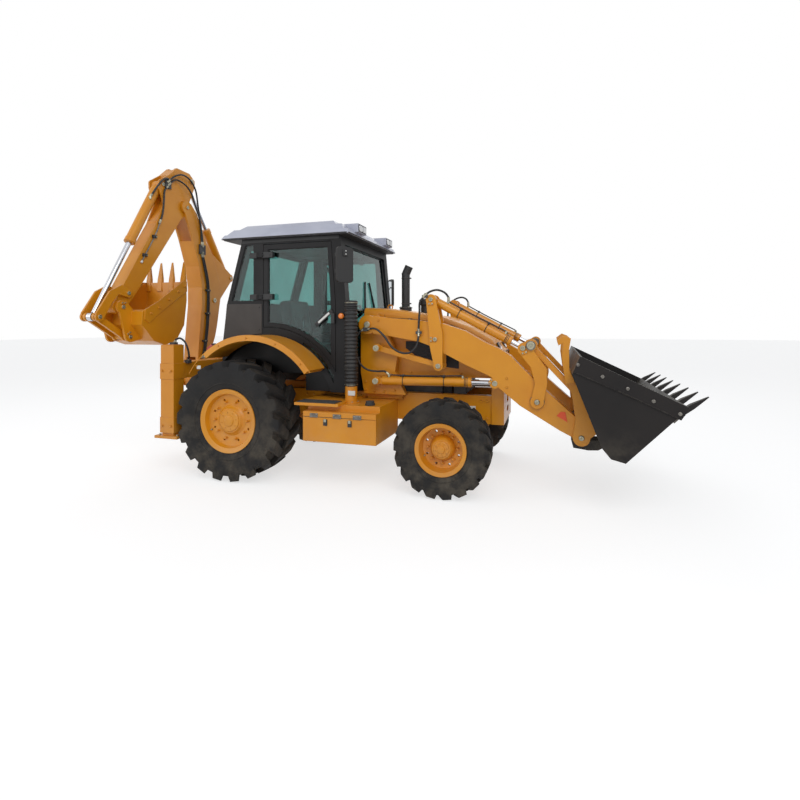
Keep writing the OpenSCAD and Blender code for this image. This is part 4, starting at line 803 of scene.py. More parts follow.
def build_loader_trim(s):
    """Pin ends, keepers, bolts and reflectors of the loader."""
    shapes = {}
    for body, place, face, radius, kept in loader_pins():
        shape = shapes.setdefault(body, Shape("pin_ends_" + body))
        for side in SIDES.values():
            pin_end(shape, at(place[0], side * face, place[1]), (0, side, 0), radius)
            if kept:
                plane, angle, reach = kept
                turn = spun(-angle, "Y")
                m = placed(place[0], side * plane, place[1]) @ turn
                keeper(shape, m @ shifted(reach, 0, 0), side)
            elif body == "machine":
                for angle in (60, 240):
                    a = math.radians(angle)
                    spot = at(place[0] + 0.025 * math.cos(a), side * (face + 0.006),
                              place[1] + 0.025 * math.sin(a))
                    shape.bolt(spot, (0, side, 0), TRIM_BOLT, "zinc")
    arms = shapes["loader_arms"]
    lean = [(-0.054, 0.026), (-0.014, 0.068), (0.028, 0.066), (0.047, -0.032)]
    for side in SIDES.values():
        m = placed(3.462, side * ARM_FACE, 0.785) @ spun(90, "X")
        arms.prism(m, lean, -side * 0.004, "reflector", 0.001)
        for forward, up in ((1.56, 1.745), (1.56, 1.655), (2.93, 1.16), (2.93, 1.07)):
            arms.bolt(at(forward, side * ARM_FACE, up), (0, side, 0), s.bolt_size * 0.8, "paint")
    for body, shape in shapes.items():
        shape.done(body)


def cylinder_trim(shape, base, tip, barrel_r, start, end):
    """Steel pipe along a cylinder, with its saddles, its two ports and the rings of the gland."""
    for side in SIDES.values():
        p, q = (at(place[0], side * ARM_MIDDLE, place[1]) for place in (base, tip))
        along = (q - p).normalized()
        up = along.cross(Vector((0, 1, 0))).normalized()
        up = -up if up.z < 0 else up
        aside = Vector((0, side * 0.014, 0))
        lift = barrel_r + 0.014
        line = [(end, barrel_r - 0.006), (end, lift), (end - 0.04, lift + 0.006), (end - 0.3, lift),
                (start + 0.2, lift), (start, lift + 0.004)]
        shape.sweep(smooth_path([p + along * a + up * h + aside for a, h in line], 5), 0.0075,
                    "moulded_black", 10)
        for reach in (end, start):
            spot = p + along * reach + aside
            shape.drum(spot + up * (barrel_r - 0.008), spot + up * (lift + 0.010), 0.014, "zinc",
                       14)
        for reach in (start + 0.16, end - 0.2):
            spot = p + along * reach
            band_ring(shape, spot, along, barrel_r + 0.002, 0.004, "moulded_black")
            shape.box(basis(spot + up * lift + aside, along, up), (0.026, 0.038, 0.020),
                      "moulded_black")
            shape.bolt(spot + up * (lift + 0.009) + aside, up, SMALL_BOLT, "zinc")
        for k in range(3):
            band_ring(shape, p + along * (end + 0.022 + 0.014 * k), along, barrel_r + 0.0065,
                      0.0025, "casting")


def band_ring(shape, centre, along, radius, thick, finish):
    """Round wire or clamp round a bar."""
    first = Vector(along).orthogonal().normalized()
    second = Vector(along).normalized().cross(first)
    ring = [Vector(centre) + radius * (math.cos(a) * first + math.sin(a) * second)
            for a in (2 * math.pi * k / 32 for k in range(32))]
    shape.sweep(ring, thick, finish, 8, closed=True)


def build_cylinders():
    """Pipes and glands of the loader's cylinders."""
    lift = Shape("lift_cylinder_pipes")
    cylinder_trim(lift, pin_place("lift_barrel_turn"), LIFT_PIN, 0.047, 0.14, 0.95)
    lift.done("lift_barrels")
    tilt = Shape("tilt_cylinder_pipes")
    cylinder_trim(tilt, pin_place("tilt_barrel_turn"), TILT_PIN, 0.046, 0.16, 0.84)
    tilt.done("tilt_barrels")


# Hoses: body at its first and at its last end, and its route as forward, outwards and up
LOADER_HOSES = [
    ("tower_hose", "machine", "lift_barrels",
     [(1.405, 0.685, 1.655), (1.345, 0.694, 1.606), (1.312, 0.698, 1.520), (1.315, 0.690, 1.400),
      (1.350, 0.670, 1.280), (1.420, 0.640, 1.210), (1.520, 0.614, 1.190), (1.610, 0.604, 1.192),
      (1.660, 0.604, 1.160)]),
    ("arm_hose", "machine", "loader_arms",
     [(1.442, 0.685, 1.650), (1.544, 0.700, 1.655), (1.645, 0.706, 1.577), (1.727, 0.710, 1.468),
      (1.826, 0.712, 1.407), (1.930, 0.712, 1.405), (2.000, 0.710, 1.468), (2.020, 0.700, 1.545),
      (2.020, 0.676, 1.605)]),
    ("lever_hose", "loader_arms", "rear_levers",
     [(2.020, 0.676, 1.628), (2.026, 0.696, 1.690), (2.036, 0.702, 1.830), (2.040, 0.700, 1.936),
      (2.092, 0.692, 2.006)]),
    ("tilt_hose", "rear_levers", "tilt_barrels",
     [(2.092, 0.692, 2.006), (2.152, 0.696, 2.045), (2.225, 0.685, 2.060), (2.290, 0.640, 2.035),
      (2.322, 0.608, 1.990), (2.326, 0.604, 1.955)]),
]


def hose(name, line, radius, first, last=None):
    """Rubber hose along a line, riding on one body, or fixed in the world when it runs between two.
    """
    shape = Shape(name)
    shape.sweep(line, radius, "hose_rubber", 14)
    made = shape.done(None if last else first)
    if last:
        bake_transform(made)


def hose_end(shape, p, along, radius):
    """Crimped ferrule and hexagon of a hose end at p, running back along its hose."""
    along = Vector(along).normalized()
    shape.drum(p - along * 0.004, p + along * 0.034, radius + 0.0035, "zinc", 16)
    m = facing(p - along * 0.022, along)
    shape.prism(m, hexagon(radius + 0.006), 0.018, "zinc", 0.001)


def build_loader_hoses(s):
    """Hoses of the lift and tilt cylinders on both sides, with their fittings and clips."""
    ends = {}
    for side_name, side in SIDES.items():
        for name, first, last, route in LOADER_HOSES:
            line = smooth_path([at(x, side * y, z) for x, y, z in route], 6)
            hose(f"{name}_{side_name}", line, s.hose_radius, first, last)
            for body, p, along in ((first, line[0], line[2] - line[0]),
                                   (last, line[-1], line[-3] - line[-1])):
                hose_end(ends.setdefault(body, Shape("loader_fittings_" + body)), p, along,
                         s.hose_radius)
        ends["machine"].box(at(1.424, side * 0.684, 1.648), (0.050, 0.044, 0.040), "casting")
        ends["loader_arms"].box(at(2.020, side * 0.668, 1.6165), (0.060, 0.038, 0.030), "casting")
        ends["loader_arms"].box(at(2.020, side * 0.655, 1.6165), (0.080, 0.012, 0.060), "paint")
        ends["rear_levers"].box(at(2.092, side * 0.690, 1.994), (0.060, 0.030, 0.028), "casting")
    for body, shape in ends.items():
        shape.done(body)


# Wheels

# End, hub's face and radius, nuts' circle, face and number, and the valve's radius
WHEELS = [("rear", 0.165, 0.150, 0.205, 0.156, 10, 0.268),
          ("front", 0.096, 0.110, 0.150, 0.046, 8, 0.200)]


def build_wheel_trim():
    """Nuts, hub caps and valves of the four wheels."""
    for side, sign in SIDES.items():
        out = Vector((0, sign, 0))
        for end, hub_out, hub_r, nut_r, nut_face, nuts, valve_r in WHEELS:
            hub = PINS[f"spin_{end}_{side}"]
            shape = Shape(f"wheel_trim_{end}_{side}")
            face = hub + out * hub_out
            cap = hub_r - 0.030
            shape.turned(face,
                         [(0, 0), (cap, 0), (cap, 0.006), (cap - 0.008, 0.012), (cap * 0.5, 0.013),
                          (cap * 0.46, 0.022), (cap * 0.3, 0.026), (0, 0.026)], "paint", 40, out)
            for k in range(8):
                a = math.radians(45 * k + 12)
                shape.bolt(face + Vector((math.cos(a), 0, math.sin(a))) * (cap * 0.76)
                           + out * 0.011, out, TRIM_BOLT, "paint")
            for k in range(nuts):
                a = 2 * math.pi * k / nuts
                spot = hub + Vector((math.cos(a), 0, -math.sin(a))) * nut_r + out * nut_face
                shape.drum(spot - out * 0.002, spot + out * 0.010, 0.009, "paint", 14)
            a = math.radians(205)
            spot = hub + Vector((math.cos(a), 0, math.sin(a))) * valve_r + out * (nut_face - 0.05)
            shape.drum(spot, spot + out * 0.05, 0.006, "hose_rubber", 12)
            shape.drum(spot + out * 0.045, spot + out * 0.058, 0.0075, "zinc", 12)
            shape.done(f"wheel_{end}_{side}")


# Cab, lamps and mirrors

# Outer face of the cab's side, from the middle
CAB_SIDE = 0.750


# Side, forward and up of the mirrors, how far out they stand and their turn in degrees
MIRRORS = ((-1, 1.270, 2.330), (1, 1.170, 2.153))
MIRROR_OUT = 0.900
MIRROR_TURN = 35
# Tail lamp and its lens, forward and up
TAIL_LAMP = [(-0.350, 1.367), (-0.302, 1.400), (-0.244, 1.440), (-0.290, 1.490), (-0.350, 1.440)]
TAIL_LENS = [(-0.345, 1.382), (-0.302, 1.411), (-0.254, 1.441), (-0.290, 1.481), (-0.345, 1.436)]


def build_lamps_mirrors():
    """Mirrors on their wire brackets, side lamps and tail lamps, in place of their plain solids."""
    shape = Shape("mirrors_and_lamps")
    for side, forward, up in MIRRORS:
        m = placed(forward, side * MIRROR_OUT, up) @ spun(side * MIRROR_TURN, "Z") @ UPRIGHT
        shape.prism(m @ shifted(0, 0, -0.012), rounded(0.196, 0.376, 0.040, 6), 0.030,
                    "moulded_black", 0.010)
        shape.prism(m @ shifted(0, 0, -0.013), rounded(0.168, 0.346, 0.030, 6), -0.003,
                    "mirror_glass", 0.0008)
        rim = [m @ Vector((x, y, -0.014)) for x, y in rounded(0.180, 0.360, 0.034, 6)]
        shape.sweep(rim, 0.004, "moulded_black", 8, closed=True)
        front = m @ shifted(0, 0, 0.018)
        shape.box(front @ shifted(0, 0.125, 0.006), (0.060, 0.070, 0.014), "moulded_black", 0.005)
        for y in (0.108, 0.142):
            shape.bolt(front @ Vector((0, y, 0.013)), front.to_3x3() @ Vector((0, 0, 1)), TRIM_BOLT,
                       "bare_plate")
        clamp = front @ Vector((0, 0.125, 0.010))
        foot = at(1.118, side * (CAB_SIDE + 0.008), up + 0.135)
        low = at(1.118, side * (CAB_SIDE + 0.008), up - 0.040)
        bend = (foot + clamp) / 2 + Vector((0.02, side * 0.01, 0.035))
        shape.sweep(smooth_path([foot, bend, clamp], 8), 0.008, "moulded_black", 10)
        shape.sweep(smooth_path([low, (low + clamp) / 2 + Vector((0.015, 0, 0.01)), clamp], 8),
                    0.006, "moulded_black", 10)
        for p in (foot, low):
            shape.box(p, (0.050, 0.012, 0.040), "moulded_black", 0.004)
            shape.bolt(p + Vector((0.013, side * 0.005, 0)), (0, side, 0), SMALL_BOLT, "zinc")
    _, forward, up = MIRRORS[-1]
    plate = placed(forward, MIRROR_OUT, up) @ spun(MIRROR_TURN, "Z") @ UPRIGHT
    shape.prism(plate @ shifted(0, -0.030, 0.018), rounded(0.110, 0.060, 0.006), 0.0015,
                "bare_plate", 0.0004)
    for side in SIDES.values():
        out = Vector((0, side, 0))
        p = at(1.175, side * (CAB_SIDE + 0.0004), 1.795)
        shape.turned(p, [(0, 0), (0.034, 0), (0.034, 0.016), (0.031, 0.019), (0, 0.019)],
                     "moulded_black", 32, out)
        shape.turned(p,
                     [(0, 0.018), (0.031, 0.018), (0.031, 0.030), (0.027, 0.040), (0.017, 0.047),
                      (0, 0.050)], "amber_lens", 32, out)
        shape.prism(placed(0, side * 0.960, 0) @ spun(90, "X"), TAIL_LAMP, -side * 0.066,
                    "moulded_black", 0.004)
        shape.prism(placed(0, side * 1.022, 0) @ spun(90, "X"), TAIL_LENS, -side * 0.018,
                    "red_lens", 0.003)
        shape.box(at(-0.3505, side * 0.998, 1.404), (0.002, 0.066, 0.052), "red_lens", 0.0005)
    shape.done("machine", ["lamps_mirrors"])


def build_roof_trim():
    """Lamps in the roof's pods, the dark rim under it and the lamps at its rear."""
    shape = Shape("roof_trim")
    face = placed(0, 0, 0) @ UPRIGHT
    for y in (-0.464, 0.464):
        m = face @ shifted(y, 2.783, 1.2945)
        shape.prism(m, rounded(0.228, 0.084, 0.020, 5), 0.0035, "moulded_black", 0.001)
        for across in (-0.054, 0.054):
            lamp = m @ shifted(across, 0, 0.0030)
            shape.prism(lamp, rounded(0.094, 0.064, 0.012, 4), 0.004, "chrome", 0.001)
            shape.prism(lamp @ shifted(0, 0, 0.003), rounded(0.086, 0.056, 0.010, 4), 0.004,
                        "clear_lens", 0.0015)
    for y in (-0.600, 0.600):
        m = face @ shifted(y, 2.722, -0.3395) @ spun(180, "Y")
        shape.prism(m, rounded(0.130, 0.040, 0.010, 4), 0.006, "moulded_black", 0.001)
        shape.prism(m @ shifted(0, 0, 0.005), rounded(0.112, 0.026, 0.006, 4), 0.004, "clear_lens",
                    0.001)
    flat = placed(0.463, 0, 2.6820)
    shape.prism(flat, rounded(1.580, 1.584, 0.030, 4), 0.0100, "moulded_black", 0.002)
    outline = [at(0.463, 0, 2.6965) + Vector((x, y, 0)) for x, y in rounded(1.606, 1.600, 0.030, 5)]
    shape.sweep(outline, 0.0065, "moulded_black", 8, closed=True)
    for x, y in ((0.05, -0.42), (0.05, 0.42), (0.80, -0.42), (0.80, 0.42)):
        shape.bolt(at(x, y, 2.871), (0, 0, 1), PANEL_BOLT, "moulded_black", 0.4)
    shape.done("machine")


def side_outline(side, points, out, depth, shape, finish):
    """Flat piece on one side of the machine: outline as forward and up, from a plane outwards."""
    m = placed(0, side * out, 0) @ spun(90, "X")
    shape.prism(m, points, -side * depth, finish, 0.002)


def bead(shape, corners, radius):
    """Rubber seal from corner to corner, one straight length at a time."""
    for a, b in zip(corners, corners[1:]):
        shape.sweep([a, b], radius, "hose_rubber", 8)


# Glass openings of the cab's side and of the door, forward and up
QUARTER = [(-0.236, 1.975), (-0.050, 2.620), (0.060, 2.620), (0.060, 1.975)]
DOOR_LIGHT = [(0.250, 1.645), (0.250, 2.560), (1.000, 2.560), (1.040, 1.940), (1.040, 1.252)]


# Heights of the door's hinges
HINGES = (2.017, 2.493)
# Dark panel under the rear side window, forward and up
LOWER_PANEL = [(-0.352, 1.455), (-0.300, 1.940), (0.172, 1.940), (0.172, 1.598),
               (0.060, 1.586), (-0.060, 1.552), (-0.170, 1.500), (-0.262, 1.440)]
# Corners of the windscreen and of the rear window, forward, left and up
WINDSCREEN = [(1.196, -0.640, 1.895), (1.121, -0.640, 2.588), (1.121, 0.640, 2.588),
              (1.196, 0.640, 1.895), (1.246, 0.640, 1.322), (1.246, -0.640, 1.322)]
REAR_WINDOW = [(-0.268, -0.600, 1.977), (-0.092, -0.600, 2.594), (-0.092, 0.600, 2.594),
               (-0.268, 0.600, 1.977)]


def build_cab_trim():
    """Seals, panels, hinges, latch bars, wipers and inner mirror of the cab."""
    cab = Shape("cab_trim")
    for side in SIDES.values():
        side_outline(side, LOWER_PANEL, CAB_SIDE, 0.005, cab, "lower_panel")
        for x, z in ((-0.28, 1.90), (0.14, 1.90), (0.14, 1.64), (-0.29, 1.53)):
            cab.bolt(at(x, side * (CAB_SIDE + 0.005), z), (0, side, 0), TRIM_BOLT, "moulded_black",
                     0.4)
        seal = [at(x, side * (CAB_SIDE - 0.018), z) for x, z in QUARTER]
        bead(cab, seal + seal[:1], 0.007)
        side_outline(side, [(-0.095, 2.640), (1.140, 2.640), (1.136, 2.680), (-0.085, 2.680)],
                     CAB_SIDE, 0.006, cab, "moulded_black")
        for z in HINGES:
            cab.box(at(0.098, side * (CAB_SIDE + 0.016), z), (0.130, 0.030, 0.062),
                    "moulded_black", 0.008)
        for x, z in ((1.215, 1.30), (1.205, 1.45), (1.190, 1.62)):
            cab.bolt(at(x, side * CAB_SIDE, z), (0, side, 0), PLATE_BOLT, "moulded_black", 0.4)
    for side, base in ((-1, -0.30), (1, 0.30)):
        foot, tip = at(1.262, base, 1.372), at(1.176, base - 0.22 * side, 2.180)
        cab.drum(at(1.238, base, 1.360), at(1.272, base, 1.372), 0.018, "moulded_black", 20)
        cab.sweep([foot, (foot + tip) / 2 + Vector((0.012, 0, 0)), tip], 0.006, "moulded_black", 10)
        blade = (tip - foot).normalized()
        middle = foot + blade * (tip - foot).length * 0.78
        cab.box(basis(middle - Vector((0.004, 0, 0)), blade, (1, 0, 0)), (0.460, 0.010, 0.022),
                "hose_rubber", 0.003)
    for corners in (WINDSCREEN, REAR_WINDOW):
        bead(cab, [at(*p) for p in corners + corners[:1]], 0.009)
    cab.box(basis(at(1.060, 0, 2.480), (1, 0, 0.12)), (0.020, 0.210, 0.060), "moulded_black", 0.008)
    cab.box(basis(at(1.049, 0, 2.478), (1, 0, 0.12)), (0.004, 0.196, 0.050), "mirror_glass", 0.001)
    cab.sweep([at(1.068, 0, 2.500), at(1.090, 0, 2.560), at(1.098, 0, 2.630)], 0.006,
              "moulded_black", 8)
    cab.done("machine")
    for name, side in SIDES.items():
        door = Shape("door_trim_" + name)
        seal = [at(x, side * (CAB_SIDE - 0.016), z) for x, z in DOOR_LIGHT]
        bead(door, seal, 0.008)
        low, high = Vector((0.873, 0, 1.703)), Vector((1.050, 0, 1.848))
        along = (high - low).normalized()
        middle = at((low.x + high.x) / 2, side * (CAB_SIDE + 0.006), (low.z + high.z) / 2)
        door.box(basis(middle, along, (0, side, 0)), (0.250, 0.046, 0.014), "moulded_black", 0.005)
        door.box(basis(middle + Vector((0, side * 0.007, 0)), along, (0, side, 0)),
                 (0.170, 0.022, 0.003), "bare_plate", 0.001)
        for reach in (-0.110, 0.110):
            spot = middle + along * reach
            door.drum(spot - Vector((0, side * 0.030, 0)), spot + Vector((0, side * 0.010, 0)),
                      0.012, "moulded_black", 16)
        door.box(at(1.072, side * (CAB_SIDE + 0.012), 1.770), (0.040, 0.026, 0.110),
                 "moulded_black", 0.008)
        for z in HINGES:
            door.box(at(0.262, side * (CAB_SIDE + 0.022), z), (0.150, 0.048, 0.064),
                     "moulded_black", 0.014)
            for x in (0.215, 0.305):
                door.bolt(at(x, side * (CAB_SIDE + 0.046), z), (0, side, 0), TRIM_BOLT,
                          "moulded_black", 0.5)
        door.done("door_" + name)


# Seat and controls

def cushion(name, m, size, crown, channels):
    """Crowned cushion with pulled-in sides, rounded edges and sewn channels along its x."""
    bm = bmesh.new()
    bmesh.ops.create_cube(bm, size=2)
    bmesh.ops.subdivide_edges(bm, edges=bm.edges[:], cuts=23, use_grid_fill=True)
    half = Vector(size) / 2
    round_r = 0.028
    for v in bm.verts:
        c = v.co.copy()
        full = Vector((c.x * half.x, c.y * half.y, c.z * half.z))
        core = Vector([max(-h + round_r, min(h - round_r, q)) for q, h in zip(full, half)])
        away = full - core
        if away.length > 1e-6:
            full = core + away.normalized() * min(away.length, round_r)
        full.x *= 1 - 0.012 * (1 - c.y * c.y)
        full.y *= 1 - 0.016 * (1 - c.x * c.x)
        if c.z > 0.2:
            full.z += crown * (1 - c.x ** 4) * (1 - c.y ** 4)
            for at_y in channels:
                full.z -= 0.008 * math.exp(-((full.y - at_y) / 0.007) ** 2) * (1 - c.x ** 8)
            across = (abs(full.x) - half.x * 0.72) / 0.007
            full.z -= 0.006 * math.exp(-across ** 2) * (1 - c.y ** 8)
        v.co = m @ full
    mesh = bpy.data.meshes.new(name)
    bmesh.ops.recalc_face_normals(bm, faces=bm.faces)
    for face in bm.faces:
        face.smooth = True
    bm.to_mesh(mesh)
    bm.free()
    mesh.materials.append(bpy.data.materials[FINISH_PREFIX + "seat_cloth"])
    made = bpy.data.objects.new(name, mesh)
    bpy.context.scene.collection.objects.link(made)
    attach(made, "machine")
    piping = Shape(name + "_piping")
    rim = rounded(size[0] - 0.014, size[1] - 0.014, 0.040, 6)
    edge = [m @ Vector((x, y, half.z - 0.006)) for x, y in rim]
    piping.sweep(edge, 0.0035, "moulded_black", 8, closed=True)
    piping.done("machine")


def build_seat():
    """Seat and backrest cushions with their piping, and the armrests."""
    base = placed(0.420, 0, 1.388)
    cushion("seat_cushion", base, (0.506, 0.526, 0.142), 0.016, (-0.15, 0.15))
    lean = spun(-8, "Y")
    back = placed(0.175, 0, 1.425) @ lean @ shifted(0.055, 0, 0.280)
    upright = back @ Matrix(((0, 0, 1, 0), (0, 1, 0, 0), (-1, 0, 0, 0), (0, 0, 0, 1)))
    cushion("back_cushion", upright, (0.586, 0.506, 0.138), 0.018, (-0.14, 0.14))
    rest = Shape("armrests")
    for side in SIDES.values():
        rest.box(basis(at(0.400, side * 0.300, 1.640), (1, 0, 0.05)), (0.300, 0.060, 0.045),
                 "seat_cloth", 0.018)
        rest.sweep([at(0.270, side * 0.285, 1.630), at(0.240, side * 0.265, 1.560)], 0.014,
                   "moulded_black", 10)
    rest.done("machine")


# Radius of the steering wheel's rim
WHEEL_RADIUS = 0.177


def build_controls():
    """Steering wheel rim, control levers, console and instruments."""
    shape = Shape("controls")
    tilt = placed(1.090, 0, 1.560) @ spun(-32, "Y")
    ring = [tilt @ p for p in circle(WHEEL_RADIUS, 0.271, 64)]
    shape.sweep(ring, 0.0192, "moulded_black", 14, closed=True)
    shape.turned(tilt @ shifted(0, 0, 0.262), [(0, 0), (0.046, 0), (0.044, 0.020), (0.030, 0.030),
                                                           (0, 0.033)], "moulded_black", 32)
    knob = tilt @ Vector((WHEEL_RADIUS, 0, 0.300))
    shape.drum(knob, knob + (tilt.to_3x3() @ Vector((0, 0, 0.045))), 0.017, "moulded_black", 16,
               0.008)
    for side in SIDES.values():
        for k, x in enumerate((0.30, 0.40, 0.50)):
            foot = at(x, side * 0.420, 1.560)
            top = foot + Vector((0.015, side * -0.01 * k, 0.200))
            shape.sweep([foot, (foot + top) / 2 + Vector((0.008, 0, 0)), top], 0.006, "chrome", 8)
            shape.drum(top - Vector((0, 0, 0.01)), top + Vector((0, 0, 0.045)), 0.017,
                       "moulded_black", 16, 0.010)
            shape.turned(foot,
                         [(0, 0), (0.034, 0), (0.030, 0.010), (0.022, 0.016), (0.024, 0.022),
                          (0.014, 0.032), (0, 0.034)], "hose_rubber", 20)
        shape.box(at(0.390, side * 0.420, 1.566), (0.380, 0.170, 0.012), "moulded_black", 0.004)
    dash = basis(at(1.098, 0, 1.716), (-0.35, 0, 0.94))
    for y, r in ((-0.10, 0.040), (0.0, 0.048), (0.10, 0.040)):
        p = at(1.066, y, 1.650)
        shape.turned(p,
                     [(0, 0), (r, 0), (r, 0.012), (r - 0.006, 0.014), (r - 0.008, 0.010),
                      (0, 0.010)], "moulded_black", 28, (-1, 0, 0.2))
        shape.turned(p + Vector((-0.010, 0, 0.002)),
                     [(0, 0), (r - 0.008, 0), (r - 0.010, 0.002), (0, 0.002)], "bare_plate", 28,
                     (-1, 0, 0.2))
    shape.box(dash, (0.020, 0.380, 0.090), "moulded_black", 0.008)
    for y in (-0.13, 0.13):
        pedal = basis(at(1.120, y * 1.9, 1.120), (-0.5, 0, 0.86))
        shape.box(pedal, (0.120, 0.070, 0.014), "hose_rubber", 0.004)
        shape.sweep([pedal @ Vector((0, 0, -0.006)), at(1.190, y * 1.9, 1.060)], 0.010,
                    "moulded_black", 8)
    shape.done("machine")


# Body trim

# Corrugated column beside the cab, forward and left
COLUMN = (1.300, -0.790)
# Outer faces of the bonnet's side and of the tank and toolbox, from the middle
BONNET_SIDE = 0.420
TANK_SIDE = 1.105
# Height of the seam under the lids of the tank and the toolbox
LID_SEAM = 0.7525
# Wheel arch of the mudguards, forward and up, the circle of its bolts and the one of its bead
ARCH_MIDDLE = (0.250, 0.690)
ARCH_BOLTS = 0.865
ARCH_BEAD = 0.8955


def on_arch(side, radius, angle, out):
    """Point on a circle round the wheel arch, out from the middle."""
    a = math.radians(angle)
    return at(ARCH_MIDDLE[0] + radius * math.cos(a), side * out,
              ARCH_MIDDLE[1] + radius * math.sin(a))


def build_column():
    """Corrugated black column in front of the right-hand door, on its painted stub."""
    shape = Shape("corrugated_column")
    p = at(*COLUMN, 0.866)
    shape.turned(p,
                 [(0, 0), (0.092, 0), (0.092, 0.012), (0.066, 0.014), (0.064, 0.180), (0, 0.180)],
                 "paint", 40)
    for spot in circle(0.079, 0.012, 6):
        shape.bolt(p + spot, (0, 0, 1), PLATE_BOLT, "zinc")
    profile = [(0, 0), (0.069, 0), (0.069, 0.030)]
    for k in range(21):
        z = 0.036 + k * 0.040
        profile += [(0.062, z), (0.064, z + 0.006), (0.073, z + 0.016), (0.073, z + 0.024),
                    (0.064, z + 0.034)]
    top = profile[-1][1]
    profile += [(0.069, top + 0.006), (0.069, top + 0.036), (0.060, top + 0.044), (0, top + 0.044)]
    foot = 0.178
    shape.turned(p + Vector((0, 0, foot)), profile, "hose_rubber", 40)
    for z in (foot + 0.015, foot + top + 0.020):
        band_ring(shape, p + Vector((0, 0, z)), (0, 0, 1), 0.070, 0.003, "zinc")
    for up in (1.250, 1.880):
        shape.box(at(1.268, -0.766, up), (0.100, 0.030, 0.040), "moulded_black", 0.004)
        band_ring(shape, at(*COLUMN, up), (0, 0, 1), 0.074, 0.004, "moulded_black")
    shape.box(at(1.334, -0.857, 0.975), (0.080, 0.004, 0.050), "bare_plate", 0.001)
    shape.done("machine")


# Mesh on the bonnet's side, forward and up
SIDE_MESH = [(1.800, 1.515), (1.800, 1.440), (1.930, 1.345), (2.020, 1.262), (2.400, 1.225),
             (2.400, 1.500), (2.200, 1.520)]


def build_bonnet_trim():
    """Seams, latches, meshes and lamps of the bonnet, with the trim of its stack and air intake."""
    shape = Shape("bonnet_trim")
    for side in SIDES.values():
        out = side * (BONNET_SIDE + 0.0005)
        shape.sweep([at(1.548, out, 1.885 - 0.07), at(1.556, out, 1.780), at(1.839, out, 1.765),
                     at(2.075, out, 1.735), at(2.330, out, 1.690), at(2.510, side * 0.411, 1.620)],
                    0.0028, "hose_rubber", 6)
        shape.sweep([at(1.556, out, 1.780), at(1.556, out, 1.140)], 0.0028, "hose_rubber", 6)
        for x in (1.848, 2.300):
            shape.box(at(x, side * 0.426, 1.752 if x < 2 else 1.682), (0.060, 0.014, 0.034),
                      "hose_rubber", 0.005)
            shape.bolt(at(x, side * 0.432, 1.757 if x < 2 else 1.687), (0, side, 0), TRIM_BOLT,
                       "zinc")
        for x in (1.330, 1.480, 1.640, 1.860, 2.420):
            shape.bolt(at(x, side * BONNET_SIDE, 1.170), (0, side, 0), PANEL_BOLT, "paint")
        m = basis(at(0, side * 0.4195, 0), (1, 0, 0), (0, -1, 0))
        shape.prism(m, SIDE_MESH, -0.004 * side, "moulded_black", 0.001)
        for k in range(11):
            z = 1.500 - 0.022 * k
            start = max(1.815, 1.815 + (1.430 - z) * 1.30)
            shape.box(at((start + 2.385) / 2, side * 0.4245, z), (2.385 - start, 0.005, 0.006),
                      "hose_rubber", 0.001)
    mesh = at(2.846, 0, 1.275)
    shape.box(mesh, (0.006, 0.620, 0.250), "moulded_black", 0.001)
    frame_line = [at(2.8635, y, z + 1.273) for y, z in rounded(0.640, 0.262, 0.020, 5)]
    shape.sweep(frame_line, 0.006, "moulded_black", 8, closed=True)
    for y in (-0.27, 0.27):
        m = basis(at(2.800, y, 1.460), (0.92, 0, 0.39)) @ UPRIGHT
        shape.prism(m @ shifted(0, 0, 0.012), rounded(0.150, 0.090, 0.020, 5), 0.012,
                    "moulded_black", 0.004)
        shape.prism(m @ shifted(0, 0, 0.020), rounded(0.132, 0.072, 0.016, 5), 0.010, "clear_lens",
                    0.004)
    stack = at(1.700, -0.100, 1.830)
    shape.turned(stack + Vector((0, 0, 0.066)),
                 [(0.050, 0), (0.078, 0), (0.078, 0.010), (0.050, 0.010)], "casting", 40)
    for spot in circle(0.066, 0.076, 4, 45):
        shape.bolt(stack + spot, (0, 0, 1), PLATE_BOLT, "zinc")
    for z in (0.120, 0.420):
        band_ring(shape, stack + Vector((0, 0, z)), (0, 0, 1), 0.0495, 0.004, "casting")
        shape.box(stack + Vector((0.056, 0, z)), (0.018, 0.030, 0.014), "casting")
        shape.bolt(stack + Vector((0.056, 0.015, z)), (0, 1, 0), SMALL_BOLT, "zinc")
    pot = at(1.900, 0.110, 1.940)
    for z in (0.006, 0.030, 0.056):
        band_ring(shape, pot + Vector((0, 0, z)), (0, 0, 1), 0.090, 0.003, "moulded_black")
    shape.turned(pot + Vector((0, 0, 0.060)),
                 [(0, 0), (0.088, 0), (0.084, 0.008), (0.030, 0.020), (0, 0.022)], "moulded_black",
                 36)
    eye = at(1.470, 0, 1.889)
    ring = [eye + Vector((0.030 * math.cos(a), 0, 0.026 + 0.026 * math.sin(a)))
            for a in (math.pi * (k / 16 * 1.5 - 0.25) for k in range(17))]
    shape.sweep(ring, 0.008, "paint", 10)
    shape.done("machine")


